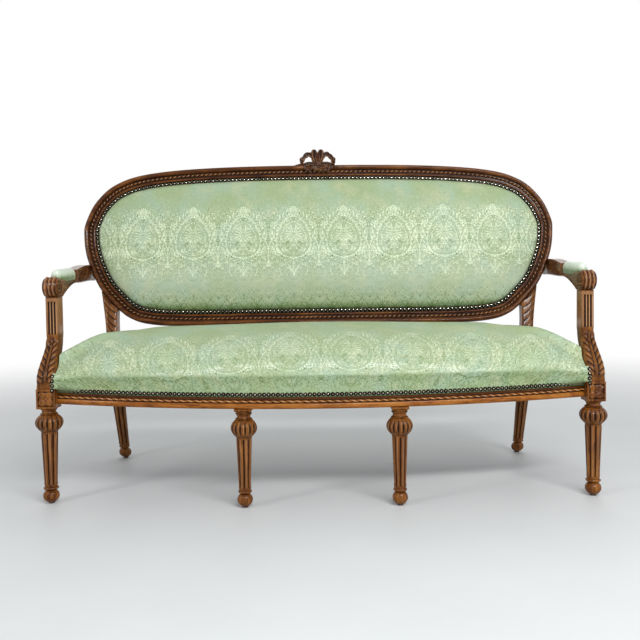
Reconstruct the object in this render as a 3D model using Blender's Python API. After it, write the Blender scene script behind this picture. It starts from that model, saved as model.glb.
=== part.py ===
# A three-seat canape in the Louis XVI manner, in metres, +Z up, its front towards -Y.
# Six turned legs carry a bowed front rail, two side rails and a rear rail. The rear legs run on
# as the stiles of a medallion back, and the arms spring from the corner legs on curved posts.
# Pieces meet with mortises, tenons and dowels, and everything hangs from one empty, which puts
# the middle of the whole on the world's origin, standing on the floor.

import math

import bmesh
import bpy
import numpy as np
from mathutils import Matrix, Vector

# Plan of the frame: places of the six legs, with y = 0 through the corner legs
corner_x = 0.7835
inner_leg_x = 0.217
rear_block_x = 0.724
rear_block_y = 0.500
rear_foot_x = 0.716
rear_foot_y = 0.571
front_bow = 0.0965
front_sag = 0.009
back_lean = math.radians(9.0)

# Fits
joint_gap = 0.0003
cloth_gap = 0.0006
overrun = 0.004

# Seat rails and their moulding, from the bottom up
rail_base = 0.287
rail_height = 0.060
front_rail_depth = 0.045
side_rail_depth = 0.040
rear_rail_depth = 0.035
front_setback = 0.023
side_setback = 0.008
rear_setback = 0.004
lower_band = 0.012
quirk = 0.003
ribbon_band = 0.009
cove_height = 0.008
cover_rebate = 0.006

# Corner blocks of the front legs
block_side = 0.054
block_base = 0.276
block_height = 0.057
rosette_sink = 0.0025
rosette_margin = 0.006

# Turned front legs, from the floor up
glide_height = 0.004
glide_diameter = 0.018
glide_pin_diameter = 0.005
glide_pin_length = 0.014
ball_height = 0.037
ball_diameter = 0.046
collar_height = 0.008
collar_diameter = 0.042
taper_foot_diameter = 0.034
taper_top_diameter = 0.046
flute_depth = 0.0026
flute_end = 0.008
bulb_height = 0.045
bulb_diameter = 0.078
gadroon_depth = 0.0042
neck_height = 0.019
neck_diameter = 0.043
inner_leg_share = 0.95
plinth_height = 0.013
plinth_side = 0.050
spigot_diameter = 0.024
spigot_length = 0.020

# Rear legs and stiles
rear_block_side = 0.055
rear_block_base = 0.276
rear_block_height = 0.076
rear_ball_diameter = 0.044
rear_collar_diameter = 0.039
rear_taper_foot_diameter = 0.034
rear_taper_top_diameter = 0.046
stile_width = 0.058
stile_depth = 0.036
stile_reach = 0.130
stile_tenon_width = 0.024
stile_tenon_depth = 0.012
stile_tenon_length = 0.024

# Medallion back: its outline in the leaning plane, and the section of its frame
medallion_half_width = 0.843
medallion_height = 0.581
medallion_base_z = 0.4812
medallion_base_y = 0.517
frame_width = 0.056
frame_depth = 0.038
torus_width = 0.017
torus_rise = 0.009
frame_quirk = 0.003
twist_band = 0.009
twist_rise = 0.005
inner_bead = 0.007
nail_land = 0.013
land_drop = 0.008
top_joint_share = 0.855
base_joint_share = 0.690
back_dowel_diameter = 0.010
back_dowel_length = 0.044

# Arms and their posts
post_width = 0.053
post_top_width = 0.037
post_draw_in = 0.003
post_foot_depth = 0.050
post_top_depth = 0.046
post_sweep = 0.058
post_sweep_start = 0.022
post_sweep_height = 0.120
post_top_z = 0.594
post_flute_diameter = 0.0068
post_flute_pitch = 0.0088
post_flute_depth = 0.003
post_flute_length = 0.096
scroll_radius = 0.028
scroll_y = 0.044
scroll_half_width = 0.0210
arm_half_width = 0.0195
arm_rear_y = 0.572
arm_rear_top_rise = 0.110
arm_step_top_rise = 0.086
arm_rear_low_rise = 0.054
arm_mid_low_rise = 0.043
pad_seat_front_rise = 0.051
pad_seat_rear_rise = 0.063
pad_start_y = 0.066
pad_length = 0.206
pad_height = 0.026
arm_edge = 0.004
dowel_diameter = 0.010
dowel_length = 0.052

# Under-seat frame
rail_tenon_length = 0.020
rail_tenon_depth = 0.014
rail_tenon_height = 0.034
rail_tenon_rise = 0.010
cross_rail_width = 0.040
cross_rail_height = 0.034
cross_tenon_length = 0.012
cross_tenon_width = 0.024
cross_tenon_height = 0.016
corner_block_rise = 0.006
corner_block_height = 0.042
corner_block_reach = 0.115

# Upholstery
webbing_thickness = 0.0018
webbing_width = 0.080
webbing_inset = 0.012
back_webbing_width = 0.070
hessian_thickness = 0.0012
cover_thickness = 0.0020
dust_cover_thickness = 0.0010
seat_crown_z = 0.506
seat_spine_half = 0.430
seat_hem_drop = 0.027
back_crown = 0.046
back_spine_half = 0.560
back_panel_inset = 0.030
back_skirt = 0.006

# Crest: a ribbon bow on the top rail
crest_depth = 0.016
crest_petal_long = 0.0270
crest_petal_short = 0.0115
crest_petal_x = 0.0095
crest_petal_rise = 0.0360
crest_loop_width = 0.0230
crest_loop_long = 0.0245
crest_loop_short = 0.0175
crest_loop_x = 0.0330
crest_loop_rise = 0.0210
crest_curl_radius = 0.0085
crest_curl_height = 0.0110
crest_curl_x = 0.0560
crest_curl_rise = 0.0200
crest_knot_width = 0.0130
crest_knot_height = 0.0105
crest_base_half = 0.060
crest_base_rise = 0.009
crest_apron_drop = 0.031
crest_tail_long = 0.026
crest_tail_short = 0.010
crest_tail_x = 0.030
crest_tail_drop = 0.016
crest_tail_lean = math.radians(-28)
crest_petal_lean = math.radians(14)
crest_loop_lean = math.radians(68)

# Counts
leg_spokes = 24
flute_spokes = slice(0, None, 3)
gadroon_spokes = slice(1, None, 2)
rail_stations = 25
outline_points = 72
seat_front_stations = 19
seat_side_stations = 6
pad_stations = 20
dowel_sides = 12
flute_sides = 10
pin_sides = 8
curve_steps = 24
scroll_steps = 12
crest_steps = 12
ribbon_steps = 14
ribbon_sides = 4
seat_strips_across = 9
seat_strips_along = 3
back_strips_across = 9
back_strips_along = 3

# Shares: of the outline's points that follow its turning, and of heights up each piece
turning_share = 0.6
ball_turn_shares = (-1.15, -0.55, 0.0, 0.55, 0.95)
collar_edge_share = 0.2
bulb_level_shares = (0.0, 0.16, 0.42, 0.68, 0.90, 1.0)
bulb_fullness_share = 0.75
neck_level_shares = (0.35, 0.75)
plinth_flare_share = 0.45
torus_step_shares = (0.25, 0.5, 0.75)
stile_level_shares = (0.0, 0.5, 0.8, 1.0)
# Of the medallion's half width: where each stile's head, its tenon and each arm's end reach it
stile_head_share = 0.885
stile_tenon_share = 0.859
arm_end_share = 0.9852
post_level_shares = (0.0, 0.06, 0.16, 0.27, 0.38, 0.5, 0.62, 0.8, 1.0)
scroll_back_share = 0.92
arm_top_shares = (0.35, 0.7, 1.0)
arm_low_shares = (0.0, 0.35, 0.6, 0.8, 0.92)
arm_bracket_share = 2.2
arm_soften_share = 0.7
pad_side_share = 0.6
pad_end_share = 0.35
apron_width_share = 0.9
apron_fullness_share = 0.7

# Places of the medallion's outline, from its top middle round to its base middle, as shares of
# its half width and of its height
outline_shares = (
    (0.000, 1.000), (0.440, 0.991), (0.720, 0.958), (0.865, 0.893), (0.950, 0.782),
    (0.993, 0.654), (1.000, 0.570), (0.985, 0.427), (0.933, 0.250), (0.866, 0.132),
    (0.800, 0.052), (0.715, 0.0145), (0.560, 0.000), (0.280, 0.000), (0.000, 0.000),
)
# The seat's rise over the rails against its reach out from the spine, from hem to crown
seat_profile_shares = (
    (1.000, 0.000), (1.024, 0.130), (1.018, 0.240), (0.978, 0.370), (0.905, 0.510),
    (0.800, 0.650), (0.650, 0.800), (0.420, 0.930), (0.000, 1.000),
)
# The same for the back panel, whose rise is towards the sitter
back_profile_shares = (
    (1.000, 0.060), (0.985, 0.230), (0.940, 0.440), (0.850, 0.660), (0.680, 0.850),
    (0.420, 0.965), (0.000, 1.000),
)
# And for an arm pad
pad_profile_shares = (
    (1.000, 0.000), (1.030, 0.300), (0.990, 0.640), (0.820, 0.880), (0.450, 0.985), (0.000, 1.000),
)

rail_top = rail_base + rail_height
block_top = block_base + block_height
block_half = block_side / 2
rear_block_half = rear_block_side / 2
front_half = corner_x - block_half
post_top_x = corner_x - post_draw_in
arm_rear_top_z = post_top_z + arm_rear_top_rise
arm_step_top_z = post_top_z + arm_step_top_rise
arm_rear_low_z = post_top_z + arm_rear_low_rise
arm_mid_low_z = post_top_z + arm_mid_low_rise
pad_seat_front_z = post_top_z + pad_seat_front_rise
pad_seat_rear_z = post_top_z + pad_seat_rear_rise
seat_middle_y = (rear_block_y - front_bow) / 2

for old in list(bpy.data.objects):
    bpy.data.objects.remove(old, do_unlink=True)

base = bpy.data.objects.new("canape", None)
bpy.context.scene.collection.objects.link(base)


def finish(name, colour, roughness, metallic=0.0):
    material = bpy.data.materials.new(name)
    material.use_nodes = True
    shader = material.node_tree.nodes["Principled BSDF"]
    shader.inputs["Base Color"].default_value = (*colour, 1.0)
    shader.inputs["Roughness"].default_value = roughness
    shader.inputs["Metallic"].default_value = metallic
    return material


show_wood = finish("walnut", (0.16, 0.055, 0.022), 0.32)
rail_wood = finish("rail_walnut", (0.23, 0.085, 0.030), 0.34)
hidden_wood = finish("beech", (0.48, 0.30, 0.16), 0.60)
damask = finish("green_damask", (0.46, 0.62, 0.38), 0.55)
stuffing = finish("stuffing", (0.55, 0.50, 0.40), 0.95)
jute = finish("jute", (0.46, 0.33, 0.18), 0.90)
cambric = finish("cambric", (0.05, 0.05, 0.05), 0.90)
nylon = finish("glide", (0.10, 0.07, 0.05), 0.45)


# Basic solids

def add_object(name, mesh, material):
    piece = bpy.data.objects.new(name, mesh)
    bpy.context.scene.collection.objects.link(piece)
    piece.parent = base
    mesh.materials.append(material)
    return piece


def solid_of_bmesh(name, shape, material, sharp=math.radians(38), split=True):
    """The object of a closed shape. Its bent quads are split, so that a Boolean sees flat faces."""
    bmesh.ops.recalc_face_normals(shape, faces=shape.faces[:])
    if split:
        bmesh.ops.triangulate(shape, faces=[face for face in shape.faces if len(face.verts) == 4])
    mesh = bpy.data.meshes.new(name)
    shape.to_mesh(mesh)
    shape.free()
    mesh.shade_smooth()
    mesh.set_sharp_from_angle(angle=sharp)
    return add_object(name, mesh, material)


def ring_solid(name, rings, material, merge=False, split=True):
    """A closed body through a stack of closed rings, with a flat cap on each end."""
    shape = bmesh.new()
    rows = [[shape.verts.new(tuple(point)) for point in ring] for ring in rings]
    count = len(rows[0])
    for low, high in zip(rows, rows[1:]):
        for k in range(count):
            after = (k + 1) % count
            shape.faces.new((low[k], low[after], high[after], high[k]))
    shape.faces.new(rows[0][::-1])
    if not merge:
        shape.faces.new(rows[-1])
    if merge:
        bmesh.ops.remove_doubles(shape, verts=rows[-1], dist=joint_gap / 10)
    return solid_of_bmesh(name, shape, material, split=split)


def box_solid(name, centre, size, material, turn=None):
    shape = bmesh.new()
    bmesh.ops.create_cube(shape, size=1.0)
    matrix = Matrix.Translation(Vector(centre)) @ (turn or Matrix()) @ Matrix.Diagonal((*size, 1.0))
    bmesh.ops.transform(shape, matrix=matrix, verts=shape.verts[:])
    return solid_of_bmesh(name, shape, material)


def rod_solid(name, start, end, diameter, material, sides=dowel_sides):
    start, end = Vector(start), Vector(end)
    shape = bmesh.new()
    bmesh.ops.create_cone(
        shape, cap_ends=True, segments=sides, radius1=diameter / 2, radius2=diameter / 2,
        depth=(end - start).length,
    )
    turn = (end - start).to_track_quat("Z", "Y").to_matrix().to_4x4()
    bmesh.ops.transform(shape, matrix=Matrix.Translation((start + end) / 2) @ turn, verts=shape.verts[:])
    return solid_of_bmesh(name, shape, material)


def helper(piece):
    piece.hide_render = True
    piece.display_type = "WIRE"
    return piece


def boolean(piece, other, operation, solver="EXACT"):
    modifier = piece.modifiers.new(other.name, "BOOLEAN")
    modifier.operation = operation
    modifier.solver = solver
    modifier.object = other


def cut(piece, cutter, solver="EXACT"):
    boolean(piece, helper(cutter), "DIFFERENCE", solver)


def fuse(piece, part, solver="EXACT"):
    boolean(piece, helper(part), "UNION", solver)


def mortise_and_tenon(name, tenoned, mortised, centre, size, turn=None):
    """Fuses a box tenon to one piece and cuts its mortise, a joint gap larger, in the other."""
    fuse(tenoned, box_solid(f"{name}_tenon", centre, size, hidden_wood, turn))
    roomy = [side + 2 * joint_gap for side in size]
    cut(mortised, box_solid(f"{name}_mortise", centre, roomy, hidden_wood, turn))


def dowel(name, start, end, diameter, drilled):
    """A loose dowel, and its hole in each piece that it joins."""
    start, end = Vector(start), Vector(end)
    along = (end - start).normalized() * joint_gap
    rod_solid(name, start, end, diameter, hidden_wood)
    for piece in drilled:
        hole = rod_solid(f"{name}_hole", start - along, end + along, diameter + 2 * joint_gap, hidden_wood)
        cut(piece, hole)


# Turned legs

def round_ring(centre, radius, groove=0.0, grooved=slice(0)):
    """A turned ring, drawn in by the groove's depth at the grooved spokes."""
    angles = 2 * math.pi * np.arange(leg_spokes) / leg_spokes
    reach = np.full(leg_spokes, radius)
    reach[grooved] -= groove
    ring = np.zeros((leg_spokes, 3))
    ring[:, 0] = reach * np.cos(angles)
    ring[:, 1] = reach * np.sin(angles)
    return ring + centre


def square_ring(centre, half_x, half_y):
    angles = 2 * math.pi * np.arange(leg_spokes) / leg_spokes
    scale = 1 / np.maximum(abs(np.cos(angles)), abs(np.sin(angles)))
    ring = np.zeros((leg_spokes, 3))
    ring[:, 0] = half_x * np.cos(angles) * scale
    ring[:, 1] = half_y * np.sin(angles) * scale
    return ring + centre


def foot_levels(ball, collar, taper_foot, taper_top, taper_top_z):
    """Height, radius and grooves of a ball foot, its collar and the fluted taper over it."""
    levels = []
    middle = glide_height + ball_height / 2
    radius_z = ball_height / 2 / math.sin(-ball_turn_shares[0])
    for turn in ball_turn_shares:
        levels.append((middle + radius_z * math.sin(turn), ball / 2 * math.cos(turn)))
    collar_z = glide_height + ball_height
    for share in (collar_edge_share, 1 - collar_edge_share):
        levels.append((collar_z + collar_height * share, collar / 2))
    taper_z = collar_z + collar_height
    levels.append((taper_z, taper_foot / 2))
    levels.append((taper_z + flute_end, taper_foot / 2, flute_depth, flute_spokes))
    levels.append((taper_top_z - flute_end, taper_top / 2, flute_depth, flute_spokes))
    levels.append((taper_top_z, taper_top / 2))
    return levels


def bulb_levels(base_z, height, widest, foot, top):
    """A gadrooned bulb: a bulge from the foot radius to the widest and in to the top radius."""
    levels = []
    for share in bulb_level_shares:
        swell = math.sin(math.pi * share) ** bulb_fullness_share
        radius = foot + (top - foot) * share
        radius += (widest - radius) * swell
        levels.append((base_z + height * share, radius, gadroon_depth * swell, gadroon_spokes))
    return levels


def front_leg(name, x, y, share, block_below):
    """A front leg up to the given height: glide seat, ball, fluted taper, bulb and neck."""
    taper_top = taper_top_diameter * share
    neck_base = block_below - neck_height
    bulb_base = neck_base - bulb_height
    levels = foot_levels(
        ball_diameter * share, collar_diameter * share, taper_foot_diameter * share, taper_top,
        bulb_base - quirk,
    )
    fillet = taper_top / 2 + quirk
    levels.append((bulb_base - quirk + joint_gap, fillet))
    neck = neck_diameter / 2 * share
    levels += bulb_levels(bulb_base, bulb_height, bulb_diameter / 2 * share, fillet, neck + quirk)
    for level, radius in zip(neck_level_shares, (neck - quirk / 2, neck)):
        levels.append((neck_base + neck_height * level, radius))
    return [round_ring((x, y, z), radius, *grooves) for z, radius, *grooves in levels]


def glide(name, x, y, leg):
    """A foot glide with its pin, which runs up into the leg."""
    disc = rod_solid(name, (x, y, 0), (x, y, glide_height - joint_gap), glide_diameter, nylon)
    pin_top = glide_height + glide_pin_length
    low, high = (x, y, glide_height / 2), (x, y, pin_top)
    fuse(disc, rod_solid(f"{name}_pin", low, high, glide_pin_diameter, nylon, pin_sides))
    low, high = (x, y, -overrun), (x, y, pin_top + joint_gap)
    cut(leg, rod_solid(f"{name}_hole", low, high, glide_pin_diameter + 2 * joint_gap, nylon, pin_sides))


def corner_leg(side, sign):
    x = sign * corner_x
    rings = front_leg(f"front_leg_{side}", x, 0.0, 1.0, block_base)
    neck = neck_diameter / 2 + quirk / 2
    rings.append(round_ring((x, 0, block_base), neck))
    rings.append(square_ring((x, 0, block_base), block_half, block_half))
    rings.append(square_ring((x, 0, block_top), block_half, block_half))
    leg = ring_solid(f"front_leg_{side}", rings, show_wood)
    panel = block_side - 2 * rosette_margin
    for face, centre in (
        ("front", (x, -block_half, block_base + block_height / 2)),
        ("outer", (x + sign * block_half, 0, block_base + block_height / 2)),
    ):
        sink = 2 * rosette_sink
        size = (panel, sink, panel) if face == "front" else (sink, panel, panel)
        cut(leg, box_solid(f"{leg.name}_{face}_panel", centre, size, show_wood))
    glide(f"glide_front_{side}", x, 0.0, leg)
    return leg


def inner_leg(side, sign, front_rail):
    x = sign * inner_leg_x
    y = front_face(x) + front_rail_depth / 2
    underside = rail_base - front_droop(x)
    plinth_base = underside - joint_gap - plinth_height
    rings = front_leg(f"inner_leg_{side}", x, y, inner_leg_share, plinth_base)
    neck = (neck_diameter + quirk) / 2 * inner_leg_share
    rings.append(round_ring((x, y, plinth_base), neck))
    flare_z = plinth_base + plinth_height * plinth_flare_share
    rings.append(square_ring((x, y, flare_z), plinth_side / 2, plinth_side / 2))
    rings.append(square_ring((x, y, plinth_base + plinth_height), plinth_side / 2, plinth_side / 2))
    leg = ring_solid(f"inner_leg_{side}", rings, show_wood)
    low = (x, y, plinth_base + plinth_height / 2)
    high = (x, y, underside + spigot_length)
    fuse(leg, rod_solid(f"{leg.name}_spigot", low, high, spigot_diameter, show_wood))
    high = (x, y, underside + spigot_length + joint_gap)
    cut(front_rail, rod_solid(f"{leg.name}_socket", low, high, spigot_diameter + 2 * joint_gap, show_wood))
    glide(f"glide_inner_{side}", x, y, leg)
    return leg


# The leaning plane of the back: x across, s up the plane, w towards the sitter

def back_point(x, s, w):
    y = medallion_base_y + s * math.sin(back_lean) - w * math.cos(back_lean)
    z = medallion_base_z + s * math.cos(back_lean) + w * math.sin(back_lean)
    return (x, y, z)


def smooth_curve(points, count):
    """A Catmull-Rom curve through a closed list of points, its steps shorter where it turns."""
    points = np.array(points, float)
    fine = []
    for k in range(len(points)):
        before, start, end, after = (points[(k + j) % len(points)] for j in (-1, 0, 1, 2))
        for t in np.arange(curve_steps) / curve_steps:
            fine.append(0.5 * (
                2 * start + (end - before) * t + (2 * before - 5 * start + 4 * end - after) * t ** 2
                + (3 * start - before - 3 * end + after) * t ** 3
            ))
    fine.append(fine[0])
    fine = np.array(fine)
    chords = np.diff(fine, axis=0)
    lengths = np.linalg.norm(chords, axis=1)
    heading = np.unwrap(np.arctan2(chords[:, 1], chords[:, 0]))
    turning = abs(np.gradient(heading))
    effort = turning_share * turning / turning.sum() + (1 - turning_share) * lengths / lengths.sum()
    steps = np.r_[0, np.cumsum(effort)]
    even = np.linspace(0, steps[-1], count, endpoint=False)
    return np.stack([np.interp(even, steps, fine[:, axis]) for axis in (0, 1)], axis=1)


def medallion_outline(inset, count=outline_points):
    """The outline of the back in (x, s), clockwise from its top middle, moved in by the inset."""
    half = [(x * medallion_half_width, s * medallion_height) for x, s in outline_shares]
    loop = half + [(-x, s) for x, s in half[-2:0:-1]]
    curve = smooth_curve(loop, count)
    along = np.roll(curve, -1, axis=0) - np.roll(curve, 1, axis=0)
    along /= np.linalg.norm(along, axis=1)[:, None]
    return curve + inset * np.stack([along[:, 1], -along[:, 0]], axis=1)


def frame_section():
    """The back frame's section as (inset from the outer edge, rise towards the sitter)."""
    front = frame_depth / 2
    points = [(0.0, -front), (0.0, front - torus_rise)]
    for share in torus_step_shares:
        angle = math.pi * share
        across = torus_width * (1 - math.cos(angle)) / 2
        points.append((across, front - torus_rise + torus_rise * math.sin(angle)))
    edge = torus_width
    points.append((edge, front - torus_rise))
    points.append((edge + frame_quirk / 2, front - torus_rise - frame_quirk / 2))
    edge += frame_quirk
    points.append((edge + twist_band / 2, front - torus_rise + twist_rise - frame_quirk))
    edge += twist_band
    points.append((edge + frame_quirk / 2, front - torus_rise - frame_quirk / 2))
    edge += frame_quirk
    points.append((edge + inner_bead / 2, front - torus_rise + frame_quirk / 2))
    points.append((frame_width - nail_land, front - land_drop - frame_quirk))
    points.append((frame_width, front - land_drop - frame_quirk))
    points.append((frame_width, -front))
    return points


land_w = frame_depth / 2 - land_drop - frame_quirk


def frame_piece(name, start, end):
    """A stretch of the back frame, between two places on the outline given as whole stations."""
    section = frame_section()
    curves = [medallion_outline(inset) for inset, _ in section]
    rings = []
    for station in range(start, end + 1):
        ring = [back_point(*curves[k][station % outline_points], section[k][1]) for k in range(len(section))]
        rings.append(np.array(ring))
    # Each end is drawn back by half a joint gap, so that the pieces meet with a whole one.
    for last, near in ((0, 1), (-1, -2)):
        step = rings[near] - rings[last]
        length = np.linalg.norm(step, axis=1)[:, None]
        rings[last] = rings[last] + step / length * joint_gap / 2
    return ring_solid(name, rings, show_wood)


def medallion_plate(name, inset, low_w, high_w, material, count=outline_points):
    outline = medallion_outline(inset, count)
    rings = [[back_point(x, s, w) for x, s in outline] for w in (low_w, high_w)]
    return ring_solid(name, rings, material)


def station_near(x_share, upper):
    """The station of the outline, on its right half, nearest to a share of the half width."""
    outline = medallion_outline(0.0)
    half = outline[: outline_points // 2 + 1]
    wanted = half[:, 1] > medallion_height / 2 if upper else half[:, 1] < medallion_height / 2
    distance = np.where(wanted, abs(half[:, 0] - x_share * medallion_half_width), medallion_height)
    return int(np.argmin(distance))


def back_frame():
    upper = station_near(top_joint_share, True)
    lower = station_near(base_joint_share, False)
    pieces = {
        "right": frame_piece("back_side_right", upper, lower),
        "base": frame_piece("back_bottom_rail", lower, outline_points - lower),
        "left": frame_piece("back_side_left", outline_points - lower, outline_points - upper),
        "top": frame_piece("back_top_rail", -upper, upper),
    }
    middle = medallion_outline(frame_width / 2)
    for side, station, piece in (
        ("upper_right", upper, "top"), ("upper_left", outline_points - upper, "top"),
        ("lower_right", lower, "base"), ("lower_left", outline_points - lower, "base"),
    ):
        at = middle[station]
        along = middle[(station + 1) % outline_points] - middle[station - 1]
        along = along / np.linalg.norm(along) * back_dowel_length / 2
        w = -frame_depth / 8
        stile = pieces["right" if side.endswith("right") else "left"]
        dowel(
            f"back_dowel_{side}", back_point(*(at - along), w), back_point(*(at + along), w),
            back_dowel_diameter, (pieces[piece], stile),
        )
    return pieces


# Seat rails

def front_face(x):
    """The y of the front rail's face over an x, from its bow."""
    return front_setback - block_half - front_bow * (1 - (x / front_half) ** 2)


def front_droop(x):
    """How far the front rail's moulding and the hem hang below their corners at an x."""
    return front_sag * (1 - (x / front_half) ** 2)


def rail_section(depth, droop=0.0):
    """The moulded section of a seat rail as (depth behind its face, height over its base)."""
    ribbon_z = lower_band + quirk
    cove_z = ribbon_z + ribbon_band
    hem_z = cove_z + cove_height
    moulding = [
        (depth, 0.0), (quirk, 0.0), (0.0, quirk),
        (0.0, lower_band - quirk / 2), (quirk, lower_band + quirk / 2),
        (quirk / 2, ribbon_z + ribbon_band / 4), (quirk / 2, cove_z - ribbon_band / 4),
        (3 * quirk / 2, cove_z + cove_height / 4), (3 * quirk / 4, hem_z - quirk / 2), (cover_rebate, hem_z),
    ]
    return [(t, z - droop) for t, z in moulding] + [(cover_rebate, rail_height), (depth, rail_height)]


hem_base = rail_top - seat_hem_drop


def make_front_rail():
    reach = front_half - joint_gap
    rings = []
    for x in np.linspace(-reach, reach, rail_stations):
        section = rail_section(front_rail_depth, front_droop(x))
        rings.append([(x, front_face(x) + t, rail_base + z) for t, z in section])
    return ring_solid("front_rail", rings, rail_wood)


def side_face(y):
    """The x of the right side rail's outer face over a y."""
    front_x = corner_x + block_half - side_setback
    rear_x = rear_block_x + rear_block_half - rear_setback
    share = (y - block_half) / (rear_block_y - rear_block_half - block_half)
    return front_x + (rear_x - front_x) * share


def make_side_rail(side, sign):
    section = rail_section(side_rail_depth)
    rings = []
    for y in (block_half + joint_gap, rear_block_y - rear_block_half - joint_gap):
        rings.append([(sign * (side_face(y) - t), y, rail_base + z) for t, z in section])
    return ring_solid(f"side_rail_{side}", rings, rail_wood)


def make_rear_rail():
    length = 2 * (rear_block_x - rear_block_half - joint_gap)
    centre = (0, rear_block_y, rail_base + rail_height / 2)
    return box_solid("rear_rail", centre, (length, rear_rail_depth, rail_height), hidden_wood)


def rear_leg(side, sign):
    """Foot, fluted taper, block and stile in one piece, raked back below and leaning above."""
    x0, x1 = sign * rear_foot_x, sign * rear_block_x
    levels = foot_levels(
        rear_ball_diameter, rear_collar_diameter, rear_taper_foot_diameter, rear_taper_top_diameter,
        rear_block_base - quirk,
    )

    def axis(z):
        share = min(z / rear_block_base, 1.0)
        return np.array((x0 + (x1 - x0) * share, rear_foot_y + (rear_block_y - rear_foot_y) * share, z))

    rings = [round_ring(axis(z), radius, *grooves) for z, radius, *grooves in levels]
    rings.append(round_ring(axis(rear_block_base), rear_taper_top_diameter / 2))
    rings.append(square_ring(axis(rear_block_base), rear_block_half, rear_block_half))
    block_top_z = rear_block_base + rear_block_height
    rings.append(square_ring((x1, rear_block_y, block_top_z), rear_block_half, rear_block_half))
    stile_base = block_top_z + stile_width / 4
    for share in stile_level_shares:
        z = stile_base + (medallion_base_z + stile_reach - stile_base) * share
        y = medallion_base_y + (z - medallion_base_z) * math.tan(back_lean)
        flare = (medallion_half_width * stile_head_share - rear_block_x) * share
        rings.append(square_ring((x1 + sign * flare, y, z), stile_width / 2, stile_depth / 2))
    leg = ring_solid(f"rear_leg_{side}", rings, show_wood)
    glide(f"glide_rear_{side}", x0, rear_foot_y, leg)
    return leg


def seat_stile(side, sign, leg, frame_side):
    """Cuts the stile's head to the medallion and tenons it in, square to the outline there."""
    clear = medallion_plate(f"{leg.name}_seat", -joint_gap, -frame_depth, frame_depth, show_wood)
    cut(leg, clear)
    outline = medallion_outline(0.0)
    half = outline[: outline_points // 2 + 1]
    low = half[:, 1] < medallion_height / 2
    tenon_x = medallion_half_width * stile_tenon_share
    station = int(np.argmin(np.where(low, abs(half[:, 0] - tenon_x), medallion_height)))
    inward = medallion_outline(frame_width)[station] - outline[station]
    inward /= np.linalg.norm(inward)
    x, s = outline[station] + inward * (stile_tenon_length / 2 - overrun)
    centre = back_point(sign * x, s, -frame_depth / 8)
    middle = Vector(back_point(0, 0, 0))
    along = Vector(back_point(sign * inward[0], inward[1], 0)) - middle
    facing = Vector(back_point(0, 0, 1)) - middle
    across = along.cross(facing)
    turn = Matrix((across, along, facing)).transposed().to_4x4()
    size = (stile_tenon_width, stile_tenon_length + 2 * overrun, stile_tenon_depth)
    mortise_and_tenon(f"stile_{side}", leg, frame_side, centre, size, turn)


def join_rails(front_rail, rear_rail, side_rails, legs, rear_legs):
    tenon_z = rail_base + rail_tenon_rise + rail_tenon_height / 2
    for side, sign in (("left", -1), ("right", 1)):
        # Front rail into the corner block, low in the block's inner face
        length = rail_tenon_length + overrun
        centre = (sign * (front_half + rail_tenon_length / 2 - overrun / 2), block_half / 3, tenon_z)
        size = (length, rail_tenon_depth, rail_tenon_height)
        mortise_and_tenon(f"front_rail_{side}", front_rail, legs[side], centre, size)
        # Side rail into the corner block's back and into the rear leg's front
        rail = side_rails[side]
        x = sign * (side_face(block_half) - side_rail_depth / 2 + rail_tenon_depth / 2)
        centre = (x, block_half - rail_tenon_length / 2 + overrun / 2, tenon_z)
        size = (rail_tenon_depth, length, rail_tenon_height)
        mortise_and_tenon(f"{rail.name}_front", rail, legs[side], centre, size)
        rear_y = rear_block_y - rear_block_half
        x = sign * (side_face(rear_y) - side_rail_depth / 2)
        centre = (x, rear_y + rail_tenon_length / 2 - overrun / 2, tenon_z)
        mortise_and_tenon(f"{rail.name}_rear", rail, rear_legs[side], centre, size)
        # Rear rail into the rear leg's inner face, behind the side rail's tenon
        inner_x = rear_block_x - rear_block_half
        depth = rear_rail_depth / 3
        centre = (sign * (inner_x + rail_tenon_length / 2 - overrun / 2), rear_block_y + depth, tenon_z)
        size = (length, depth, rail_tenon_height)
        mortise_and_tenon(f"rear_rail_{side}", rear_rail, rear_legs[side], centre, size)


def cross_rail(side, sign, front_rail, rear_rail):
    z0 = rail_base + (rail_height - cross_rail_height) / 2
    rear_y = rear_block_y - rear_rail_depth / 2 - joint_gap
    half = cross_rail_width / 2
    z1 = z0 + cross_rail_height
    front_ring, rear_ring = [], []
    for offset, z in ((-half, z0), (half, z0), (half, z1), (-half, z1)):
        x = sign * inner_leg_x + offset
        front_ring.append((x, front_face(x) + front_rail_depth + joint_gap, z))
        rear_ring.append((x, rear_y, z))
    rail = ring_solid(f"cross_rail_{side}", [front_ring, rear_ring], hidden_wood)
    x = sign * inner_leg_x
    z = z0 + cross_rail_height / 2
    size = (cross_tenon_width, cross_tenon_length + 2 * overrun, cross_tenon_height)
    front_y = front_face(x) + front_rail_depth - cross_tenon_length / 2 + overrun
    mortise_and_tenon(f"{rail.name}_front", rail, front_rail, (x, front_y, z), size)
    rear_y += cross_tenon_length / 2 - overrun
    mortise_and_tenon(f"{rail.name}_rear", rail, rear_rail, (x, rear_y, z), size)


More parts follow.
